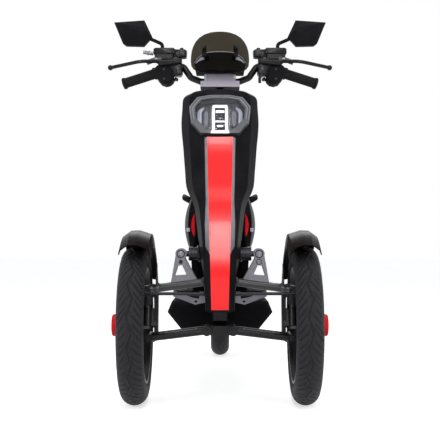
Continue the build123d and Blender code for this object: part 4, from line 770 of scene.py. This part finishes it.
# %% Rings round the grips
RIBS, GRIP_RIB_R, RIB_HALF, END_SHARE, RIB_MARGIN = 22, 0.0177, 0.0007, 0.16, 0.08
grip_points = [v.co for v in nodes["grips"].data.vertices]
bm = bmesh.new()
for side in (-1, 1):
    ends = []
    own = sorted((p for p in grip_points if p.x * side > 0), key=lambda p: p.x * side)
    reach = own[-1].x * side - own[0].x * side
    for picked in ([p for p in own if p.x * side < own[0].x * side + reach * END_SHARE],
                   [p for p in own if p.x * side > own[-1].x * side - reach * END_SHARE]):
        corners = [[f(p[k] for p in picked) for f in (min, max)] for k in range(3)]
        ends.append(Vector([sum(pair) / 2 for pair in corners]))
    axis = (ends[1] - ends[0]).normalized()
    for step in range(RIBS):
        middle = ends[0].lerp(ends[1], RIB_MARGIN + (1 - 2 * RIB_MARGIN) * step / (RIBS - 1))
        rod(bm, middle - axis * RIB_HALF, middle + axis * RIB_HALF, GRIP_RIB_R, segments=28)
place_piece(finished(bm, "grip_ribs"), "steering", "grip_rubber", "grip_rubber")

# The cover over the bar's clamp is open below, and a thin plate closes it.
COVER_FOOT_Z = 1.0168
bm = bmesh.new()
plate(bm, mirrored([(0.0655, -0.4665), (0.0655, -0.3915)]), -0.0012, 0, axes_at((0, 0, COVER_FOOT_Z), *FACING_UP), 0)
place_piece(finished(bm, "cover_underside"), "steering", "black_plastic", "black_plastic")
print(RIBS, "ribs on each grip")

# %% [markdown]
# ## Mirror glass
#
# A mirror is silvered glass in a dark shell, with a narrow border between them. It faces the rider, so it lies on
# the shell's rear side, and is the shell's outline drawn a little smaller.

# %% Mirrors
MIRROR_EDGE = [(228, 1188), (254, 1243), (356, 1236), (328, 1168), (316, 1158.5), (256, 1157)]
MIRROR_X, MIRROR_Z, GLASS_SHARE = 290, 1200, 0.9
mirrors = surface("mirrors")
bm = bmesh.new()
for side in (-1, 1):
    behind = Vector((side * MIRROR_X * MM, 0.5, MIRROR_Z * MM))
    back = mirrors.ray_cast(behind, Vector((0, -1, 0)))[0].y
    outline = [(side * (MIRROR_X + (x - MIRROR_X) * GLASS_SHARE) * MM, (MIRROR_Z + (z - MIRROR_Z) * GLASS_SHARE) * MM)
               for x, z in MIRROR_EDGE]
    plate(bm, outline, 0.0016, -0.001, axes_at((0, back, 0), *FACING_FRONT), 0)
place_piece(finished(bm, "mirror_glasses"), "steering", "steel", "mirror_glass")
print("glass at", round(back, 3), "m")

# %% [markdown]
# ## Hardware of the front suspension
#
# The arms pivot on bolts through the uprights, and each rocker plate hangs on its own. The surfaces themselves are
# asked where they are, so that a bolt's washer sits on the metal and doesn't float in front of it.

# %% Bolts, holes and collars
SUSPENSION = ("upper_arms", "lower_arms", "lock_plates", "uprights", "knuckle_left", "knuckle_right", "frame",
              "cross_shock")
trees = {node: surface(node) for node in SUSPENSION}


def front_of(x, z, names=SUSPENSION):
    """The foremost of some nodes at x and z."""
    found = [on_front(trees[name], x, z) for name in names]
    return min([y for y in found if y is not None], default=None)


steel_bolts, dark_bolts, rings, holes = (bmesh.new() for _ in range(4))
# x and z of each pivot, the bolt's width in metres, and the mesh it goes into
BOLTS = [(-0.120, 0.461, 0.017, steel_bolts), (0.120, 0.461, 0.017, steel_bolts), (0.120, 0.4365, 0.012, steel_bolts),
         (-0.045, 0.375, 0.016, dark_bolts), (0.045, 0.375, 0.016, dark_bolts),
         (-0.040, 0.225, 0.016, dark_bolts), (0.040, 0.225, 0.016, dark_bolts),
         (-0.222, 0.351, 0.016, dark_bolts), (0.222, 0.351, 0.016, dark_bolts),
         (-0.222, 0.203, 0.019, dark_bolts), (0.222, 0.203, 0.019, dark_bolts)]
placed = 0
for x, z, across, target in BOLTS:
    y = front_of(x, z)
    if y is not None:
        if target is steel_bolts:
            rod(dark_bolts, (x, y + 0.001, z), (x, y - 0.0012, z), across * 0.75, segments=28)
        bolt(target, (x, y - (0.001 if target is steel_bolts else -0.0005), z), (0, -1, 0), across * 0.8)
        placed += 1
# A hole where one pivot has no bolt, holes in the lock plates, and two collars on each bar of the upper arms.
# The holes aren't cut: each is a thin dark disc on the metal, painted shade for the hole's dark inside.
BARE_PIVOT, PLATE_HOLES = (-0.120, 0.4365), ((0.058, 0.300), (0.058, 0.284))
COLLARS, ARM_BARS_Y, COLLAR_R = ((0.188, 0.194), (0.204, 0.212)), (-0.641, -0.705), 0.0142
x, z = BARE_PIVOT
y = front_of(x, z)
rod(holes, (x, y + 0.002, z), (x, y - 0.0008, z), 0.0062)
for side in (-1, 1):
    for x, z in PLATE_HOLES:
        y = front_of(side * x, z, ("lock_plates",))
        if y is not None:
            rod(holes, (side * x, y + 0.001, z), (side * x, y - 0.0006, z), 0.0034)
    for collar in COLLARS:
        for y in ARM_BARS_Y:
            ends = []
            for x in collar:
                t = (x - ARM_INNER[0]) / (ARM_OUTER[0] - ARM_INNER[0])
                ends.append((side * x, y, ARM_INNER[1] + (ARM_OUTER[1] - ARM_INNER[1]) * t))
            rod(rings, *ends, COLLAR_R, segments=28)
place_piece(finished(steel_bolts, "pivot_bolts"), "chassis", "steel", "steel")
place_piece(finished(dark_bolts, "arm_bolts"), "chassis", "steel", "dark_steel")
place_piece(finished(rings, "arm_collars"), "chassis", "steel", "bolt_steel")
place_piece(finished(holes, "plate_hole_shades"), "chassis", "frame_paint", "dark_steel")
print(placed, "bolts on the front suspension")


# %% [markdown]
# ## Springs
#
# A coil spring is one long wire, so a circle is swept along a helix. The rear shocks carry red springs between two
# seats, and the shock that joins the rocker plates a dark one.

# %% Springs
COIL_STEPS = 20


def coil(bm, a, b, radius, wire, turns, sides=8):
    """A coil spring between two places."""
    a, b = Vector(a), Vector(b)
    run = b - a
    along = run.normalized()
    right = along.orthogonal().normalized()
    up = along.cross(right)
    steps = int(turns * COIL_STEPS)
    turn = 2 * math.pi
    swept(bm, [a + run * (k / steps) + (right * math.cos(k / COIL_STEPS * turn)
                                        + up * math.sin(k / COIL_STEPS * turn)) * radius
               for k in range(steps + 1)], wire, sides)


REAR_SHOCK_FOOT, REAR_SHOCK_HEAD = (0.088, 0.521, 0.284), (0.088, 0.467, 0.542)
SPRING_SEATS, SEAT_R, SEAT_HALF = (0.25, 0.87), 0.0275, 0.003
bm = bmesh.new()
for side in (-1, 1):
    foot, head = Vector(on_side(side, REAR_SHOCK_FOOT)), Vector(on_side(side, REAR_SHOCK_HEAD))
    run = head - foot
    coil(bm, foot + run * 0.26, foot + run * 0.86, radius=0.0235, wire=0.0036, turns=8)
    for t in SPRING_SEATS:
        along = run.normalized() * SEAT_HALF
        rod(bm, foot + run * t - along, foot + run * t + along, SEAT_R, segments=32)
place_piece(finished(bm, "rear_springs"), "chassis", "steel", "red_plastic")

CROSS_SPRING_HALF = 0.070
bm = bmesh.new()
low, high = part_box("cross_shock")
middle_y, middle_z = (low[1] + high[1]) / 2, (low[2] + high[2]) / 2
coil(bm, (-CROSS_SPRING_HALF, middle_y, middle_z), (CROSS_SPRING_HALF, middle_y, middle_z), radius=0.0225,
     wire=0.0032, turns=11)
place_piece(finished(bm, "cross_spring"), "chassis", "steel", "dark_steel")
print("springs wound")

# %% [markdown]
# ## Wheels' hardware
#
# The brake disc is held by five small bolts on the hub, on the wheel's inner side. Each wheel's pieces ride
# on that wheel, so they turn with it.

# %% Disc bolts
HALF_TRACK, FRONT_Y, AXLE_Z = 0.259, -0.693, 0.242
DISC_BOLTS, BOLT_CIRCLE = 5, 0.040
for side, name in ((1, "left"), (-1, "right")):
    bm = bmesh.new()
    centre = Vector((side * HALF_TRACK, FRONT_Y, AXLE_Z))
    disc = surface("disc_front_" + name)
    for k in range(DISC_BOLTS):
        turn = 2 * math.pi * (k + 0.5) / DISC_BOLTS
        offset = Vector((0, math.cos(turn), math.sin(turn))) * BOLT_CIRCLE
        hit = disc.ray_cast(centre + offset - Vector((side * 0.3, 0, 0)), Vector((side, 0, 0)))[0]
        if hit:
            bolt(bm, hit, (-side, 0, 0), 0.008)
    if len(bm.verts):
        place_piece(finished(bm, "wheel_bolts_" + name), "wheel_front_" + name, "steel", "bolt_steel")
print("wheel bolts placed")

# %% [markdown]
# ## Reflectors on the body's corners
#
# A small silver reflector sits on each front corner of the body, beside the red accents.

# %% Body reflectors
REFLECTOR_EDGE = [(0.119, 0.540), (0.131, 0.540), (0.132, 0.554), (0.119, 0.555)]
REFLECTOR_X, REFLECTOR_Z = 0.125, 0.547
body_faces = surface("rear_body")
bm = bmesh.new()
for side in (-1, 1):
    y = on_front(body_faces, side * REFLECTOR_X, REFLECTOR_Z)
    plate(bm, [(side * x, z) for x, z in REFLECTOR_EDGE], -0.001, 0.0035, axes_at((0, y, 0), *FACING_FRONT), 0.0006)
place_piece(finished(bm, "body_reflectors"), "chassis", "grey_plastic", "pod_pale")
print("reflectors at", round(y, 3), "m")

# %% [markdown]
# ## Tyres with cut tread
#
# A road tyre's grooves are real cuts, so they are geometry here. Working in a flat strip is far easier than on a
# ring: a grid is made, its columns are bent into a zigzag and its rows slanted into a herringbone, the groove
# faces are pushed in, and only then is the strip rolled up along the tyre's section and round the axle.

# %% The tyre's section
TYRE_R, RIM_R, TREAD_DROP, HALF_WIDTH = 0.242, 0.1783, 0.016, 0.040
SHOULDER_X, BEAD_X = 0.033, 0.030
CROWN_R = (SHOULDER_X ** 2 + TREAD_DROP ** 2) / (2 * TREAD_DROP)


def circle_through(a, b, c):
    """Centre and radius of the circle through three points in a plane."""
    d = 2 * (a[0] * (b[1] - c[1]) + b[0] * (c[1] - a[1]) + c[0] * (a[1] - b[1]))
    s = [p[0] ** 2 + p[1] ** 2 for p in (a, b, c)]
    x = (s[0] * (b[1] - c[1]) + s[1] * (c[1] - a[1]) + s[2] * (a[1] - b[1])) / d
    y = (s[0] * (c[0] - b[0]) + s[1] * (a[0] - c[0]) + s[2] * (b[0] - a[0])) / d
    return x, y, math.hypot(a[0] - x, a[1] - y)


shoulder = (SHOULDER_X, TYRE_R - TREAD_DROP)
wall_x, wall_y, wall_r = circle_through(shoulder, (HALF_WIDTH, (RIM_R + shoulder[1]) / 2), (BEAD_X, RIM_R))
print("crown radius", round(CROWN_R, 4), "wall radius", round(wall_r, 4))

# %% The flat strip: columns over half a section, rows over one pitch
ZIGZAGS = 16
GROOVE_DEPTH, ZIGZAG_REACH, SLANT = 0.003, 0.0085, 1.35
TREAD_COLUMNS = [0.0013, 0.007, 0.013, 0.020, 0.027, SHOULDER_X]
WALL_STEPS, WALL_SPAN = 6, 0.01
ROWS = [0, 0.10, 0.20, 0.235, 0.42, 0.56, 0.68, 0.71, 0.86]
LONG_CUT, SHORT_CUT = 2, 6
# how far out the zigzag fades away, where the herringbone starts, and how close two points must be to be one
ZIGZAG_FADE, SLANT_START, WELD = 0.024, 0.004, 0.00005


def section_point(column):
    """Where a column sits: sideways, radius, and the direction out of the rubber."""
    side = -1 if column < 0 else 1
    column = abs(column)
    if column <= SHOULDER_X:
        rise = math.sqrt(CROWN_R ** 2 - column ** 2)
        return side * column, TYRE_R - CROWN_R + rise, (side * column / CROWN_R, rise / CROWN_R)
    share = (column - SHOULDER_X) / WALL_SPAN
    first = math.atan2(shoulder[1] - wall_y, shoulder[0] - wall_x)
    last = math.atan2(RIM_R - wall_y, BEAD_X - wall_x)
    angle = first + (last - first) * share
    across, along = math.cos(angle), math.sin(angle)
    return side * (wall_x + wall_r * across), wall_y + wall_r * along, (side * across, along)


half_columns = TREAD_COLUMNS + [SHOULDER_X + WALL_SPAN * i / WALL_STEPS for i in range(1, WALL_STEPS + 1)]
columns = [-c for c in reversed(half_columns)] + half_columns
rows = [(pitch + row) / (2 * ZIGZAGS) for pitch in range(2 * ZIGZAGS) for row in ROWS] + [1.0]
print(len(columns), "columns and", len(rows), "rows")


# %% Roll one tyre
def tyre_mesh(name, middle_x, axle_y):
    """One tyre: a flat grid, its grooves pushed in, rolled along the section and round the axle."""
    bm = bmesh.new()
    bmesh.ops.create_grid(bm, x_segments=len(columns) - 1, y_segments=len(rows) - 1, size=0.5)
    place = {}
    for v in bm.verts:
        i = round((v.co.x + 0.5) * (len(columns) - 1))
        j = round((v.co.y + 0.5) * (len(rows) - 1))
        place[v] = (i, j)
        v.co = (i, j, 0)
    middle = len(columns) // 2

    def is_groove(face):
        i = min(place[v][0] for v in face.verts)
        row = min(place[v][1] for v in face.verts) % len(ROWS)
        out = i - middle if i >= middle else middle - 2 - i
        if i == middle - 1:
            return True
        return (row == LONG_CUT and 1 <= out <= 4) or (row == SHORT_CUT and 2 <= out <= 4)

    cut = bmesh.ops.extrude_face_region(bm, geom=[f for f in bm.faces if is_groove(f)])
    for v in [g for g in cut["geom"] if isinstance(g, bmesh.types.BMVert)]:
        v.co.z = -GROOVE_DEPTH
    for v in bm.verts:
        column, turn, depth = columns[round(v.co.x)], rows[round(v.co.y)], v.co.z
        wave = (turn * ZIGZAGS) % 1
        fade = max(0.0, 1 - max(0.0, abs(column) - half_columns[0]) / ZIGZAG_FADE)
        shift = ZIGZAG_REACH * fade * (abs(4 * wave - 2) - 1)
        tread = abs(column) < SHOULDER_X
        side, radius, normal = section_point(column + shift if tread else column)
        slant = -SLANT * min(max(abs(column) - SLANT_START, 0), SHOULDER_X) / TYRE_R
        angle = 2 * math.pi * turn + slant
        radius += normal[1] * depth
        v.co = (middle_x + side + normal[0] * depth, axle_y - radius * math.cos(angle),
                TYRE_R + radius * math.sin(angle))
    bmesh.ops.remove_doubles(bm, verts=bm.verts, dist=WELD)
    rim_edges = [e for e in bm.edges if e.is_boundary]
    bmesh.ops.bridge_loops(bm, edges=rim_edges)
    return finished(bm, name)


for node, body in (("tyre_front_left", "wheel_front_left"), ("tyre_front_right", "wheel_front_right"),
                   ("tyre_rear", "wheel_rear")):
    low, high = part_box(node)
    piece = place_piece(tyre_mesh("treaded_" + node, (low[0] + high[0]) / 2, (low[1] + high[1]) / 2), body,
                        "tyre_rubber", "tyre_rubber", node)
    print(piece.name, len(piece.data.polygons), "faces")

# %% [markdown]
# ## The seat
#
# The real seat is vinyl stretched over foam on a hard pan. A modelled loft would be too even: stretched vinyl swells
# between its edges and pulls in at its seams. So a slightly smaller form is remeshed into even faces and blown up as
# cloth, with its foot held to the pan, and only then are its seams laid on. A cap on how far each point may move
# keeps it in its place.

# %% Seat form
SEAT_LOW = 0.7003
# y, half width and height of each section of the pad, in mm
SEAT_ROWS = [(108, 84, 28), (116, 93, 40), (134, 99, 49), (213, 107, 56), (313, 111, 57), (443, 110, 61),
             (478, 109, 67), (501, 108, 76), (528, 106, 86), (553, 105, 91), (707, 92, 90), (770, 80, 85),
             (794, 72, 80), (812, 62, 64), (818, 56, 50)]
# shares of the half width and of the height, from the foot to the middle of the top
SEAT_PROFILE = [(0.9, 0.12), (0.985, 0.2), (1.0, 0.42), (0.975, 0.66), (0.9, 0.82), (0.72, 0.93), (0.45, 0.98),
                (0.2, 1.0), (0.0, 1.0)]
SEAT_SHRINK, FOOT_SHARE, SEAT_VOXEL = 0.965, 0.3, 0.006


def seat_ring(bm, y, half, height, shrink):
    """The section of the pad at y; its foot keeps its height however much the rest shrinks."""
    right = [(x * half * shrink * MM, SEAT_LOW + z * height * (shrink if z > FOOT_SHARE else 1) * MM)
             for x, z in SEAT_PROFILE]
    points = right + [(-x, z) for x, z in reversed(right[:-1])]
    return [bm.verts.new((x, y * MM, z)) for x, z in points]


bm = bmesh.new()
shrink = SEAT_SHRINK
rings = [seat_ring(bm, *row, shrink) for row in SEAT_ROWS]
skinned(bm, rings)
mesh = finished(bm, "seat_pad", sharp=180)
pad = place_piece(mesh, "seat_lid", "seat_cover", "seat_cover", "seat")


def applied(piece):
    """Gives a piece the mesh that its modifiers make, and takes them off."""
    made = bpy.data.meshes.new_from_object(piece.evaluated_get(bpy.context.evaluated_depsgraph_get()))
    piece.modifiers.clear()
    piece.data = made
    return made


remesh = pad.modifiers.new("even_faces", "REMESH")
remesh.mode, remesh.voxel_size = "VOXEL", SEAT_VOXEL
mesh = applied(pad)
print(len(mesh.polygons), "even faces in the seat")

# %% Swelling
SWELL_FRAMES, SWELL_PRESSURE, SWELL_CAP, HELD_HEIGHT = 20, 4, 0.007, 0.016
rest = [v.co.copy() for v in mesh.vertices]
held = pad.vertex_groups.new(name="held")
held.add([v.index for v in mesh.vertices if v.co.z < SEAT_LOW + HELD_HEIGHT], 1.0, "REPLACE")
cloth = pad.modifiers.new("swell", "CLOTH")
cloth.settings.quality = 5
cloth.settings.tension_stiffness = cloth.settings.compression_stiffness = 25
cloth.settings.bending_stiffness = 2
cloth.settings.use_pressure = True
cloth.settings.uniform_pressure_force = SWELL_PRESSURE
cloth.settings.vertex_group_mass = "held"
cloth.settings.effector_weights.gravity = 0
cloth.collision_settings.use_collision = False
cloth.point_cache.frame_start, cloth.point_cache.frame_end = 1, SWELL_FRAMES
for frame_number in range(1, SWELL_FRAMES + 1):
    bpy.context.scene.frame_set(frame_number)
mesh = applied(pad)
moved = 0
for vertex, start_place in zip(mesh.vertices, rest):
    shift = vertex.co - start_place
    if shift.length > SWELL_CAP:
        vertex.co = start_place + shift.normalized() * SWELL_CAP
    moved = max(moved, shift.length)
bpy.context.scene.frame_set(1)
print("swollen by up to", round(moved * 1000, 1), "mm, held to", SWELL_CAP * 1000)

# %% [markdown]
# ## Sewn channels
#
# The vinyl is drawn down along five lines across the seat. Each point of the pad's top that lies near a line is
# lowered, most at the line itself, and less towards the line's two ends.

# %% Channels
CHANNELS = (0.200, 0.300, 0.400, 0.510, 0.640)
CHANNEL_REACH, CHANNEL_DEPTH, CHANNEL_HALF, CHANNEL_FADE, TOP_NORMAL = 0.012, 0.0028, 0.085, 0.02, 0.35
bm = bmesh.new()
bm.from_mesh(mesh)
bmesh.ops.smooth_vert(bm, verts=list(bm.verts), factor=0.5, use_axis_x=True, use_axis_y=True, use_axis_z=True)
for vertex in bm.verts:
    for y in CHANNELS:
        near = abs(vertex.co.y - y)
        if near < CHANNEL_REACH and vertex.normal.z > TOP_NORMAL and abs(vertex.co.x) < CHANNEL_HALF:
            fade = min(1, (CHANNEL_HALF - abs(vertex.co.x)) / CHANNEL_FADE)
            vertex.co.z -= CHANNEL_DEPTH * fade * (1 - near / CHANNEL_REACH) ** 2
bm.to_mesh(mesh)
bm.free()
for polygon in mesh.polygons:
    polygon.use_smooth = True
levels = pad.modifiers.new("smooth", "SUBSURF")
levels.levels = levels.render_levels = 1
print(len(CHANNELS), "channels sewn")

# %% [markdown]
# ## Piping and pan
#
# Piping is a thin vinyl welt in the seam between the seat's top and its sides. Rays cast at the finished pad find its
# side, and a thin round wire is swept along the places that they meet. Under the pad lies the hard pan, with the
# barrel of the hinge at its front.

# %% Piping
PIPING_SHARE, PIPING_FRONT, PIPING_BACK, PIPING_STEPS = 0.72, 0.128, 0.805, 60
PIPING_R, PIPING_SUNK = 0.0019, 0.0004
pad_faces = BVHTree.FromObject(pad, bpy.context.evaluated_depsgraph_get())


def seat_height(y):
    """The seat's height in millimetres at y, between the rows that it was drawn with."""
    return next(h0 + (h1 - h0) * (y * 1000 - y0) / (y1 - y0) for (y0, _, h0), (y1, _, h1)
                in zip(SEAT_ROWS, SEAT_ROWS[1:]) if y0 <= y * 1000 <= y1)


bm = bmesh.new()
for side in (-1, 1):
    line = []
    for step in range(PIPING_STEPS + 1):
        y = PIPING_FRONT + (PIPING_BACK - PIPING_FRONT) * step / PIPING_STEPS
        beside = Vector((side * 0.3, y, SEAT_LOW + seat_height(y) * PIPING_SHARE * MM))
        hit = pad_faces.ray_cast(beside, Vector((-side, 0, 0)))[0]
        if hit:
            line.append(hit + Vector((-side * PIPING_SUNK, 0, 0)))
    swept(bm, line, PIPING_R, 8)
print(len(line), "points on each side's piping")
place_piece(finished(bm, "seat_piping", sharp=180), "seat_lid", "seat_cover", "seat_cover")

# %% Pan and hinge barrel
PAN_SHARE, PAN_THICK, TONGUE_HALF, TONGUE_THICK, TONGUE_Z = 0.9, 0.0095, 0.0285, 0.0045, 0.7064
BARREL_HALF, BARREL_Y, BARREL_Z, BARREL_R = 0.029, 0.097, 0.704, 0.0068
bm = bmesh.new()
pan = [(half * PAN_SHARE * MM, y * MM) for y, half, _ in SEAT_ROWS]
plate(bm, mirrored(pan), 0.0, PAN_THICK, axes_at((0, 0, SEAT_LOW), *FACING_UP), 0.0015)
plate(bm, mirrored([(TONGUE_HALF, 0.098), (TONGUE_HALF, 0.130)]), 0.0, TONGUE_THICK,
      axes_at((0, 0, TONGUE_Z), *FACING_UP), 0)
rod(bm, (-BARREL_HALF, BARREL_Y, BARREL_Z), (BARREL_HALF, BARREL_Y, BARREL_Z), BARREL_R, segments=28)
place_piece(finished(bm, "seat_pan"), "seat_lid", "matt_plastic", "matt_plastic")
print("pan and barrel made")

# %% [markdown]
# ## Floor mat and rear light
#
# The floor is covered by a rubber mat with long ribs, so that a shoe keeps its grip in the wet. The rear light shows
# rows of small LEDs: each is drawn as a low round dot of red lens plastic on the light's face.

# %% Floor mat
MAT_RIBS, MAT_HALF, MAT_EDGE, MAT_FRONT, MAT_BACK = 17, 0.112, 0.012, -0.352, 0.098
MAT_SUNK, MAT_THICK, RIB_HALF_WIDTH, MAT_RIB_HEIGHT = 0.0005, 0.0022, 0.003, 0.0052
low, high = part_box("floor_board")
bm = bmesh.new()
top = surface("floor_board").ray_cast(Vector((0, -0.12, 0.6)), Vector((0, 0, -1)))[0].z
on_floor = axes_at((0, 0, top), *FACING_UP)
mat_half = MAT_HALF + MAT_EDGE
plate(bm, mirrored([(mat_half, MAT_FRONT), (mat_half, MAT_BACK)]), -MAT_SUNK, MAT_THICK, on_floor, 0.0008)
for k in range(MAT_RIBS):
    x = -MAT_HALF + 2 * MAT_HALF * k / (MAT_RIBS - 1)
    left, right, front, back = x - RIB_HALF_WIDTH, x + RIB_HALF_WIDTH, MAT_FRONT + MAT_EDGE, MAT_BACK - MAT_EDGE
    plate(bm, [(left, front), (right, front), (right, back), (left, back)], 0.0, MAT_RIB_HEIGHT, on_floor, 0.0012)
place_piece(finished(bm, "floor_mat"), "chassis", "grip_rubber", "mat_rubber")
print(MAT_RIBS, "ribs on a floor board that is", round(high[1] - low[1], 3), "m long")

# %% LEDs in the rear light
LED_ROWS, LED_COUNT, LED_PITCH, LED_LEFT = (0.646, 0.655, 0.664), 9, 0.009, -0.036
LED_FOOT_R, LED_TOP_R, FAR_BEHIND = 0.0028, 0.0022, 2.0
tail = surface("tail_light")
bm = bmesh.new()
for z in LED_ROWS:
    for k in range(LED_COUNT):
        hit = tail.ray_cast(Vector((LED_LEFT + LED_PITCH * k, FAR_BEHIND, z)), Vector((0, -1, 0)))[0]
        rod(bm, hit - Vector((0, 0.001, 0)), hit + Vector((0, 0.0008, 0)), LED_FOOT_R, LED_TOP_R, segments=12)
place_piece(finished(bm, "tail_leds"), "chassis", "lens_red", "lens_red")
print(len(LED_ROWS) * LED_COUNT, "LEDs")
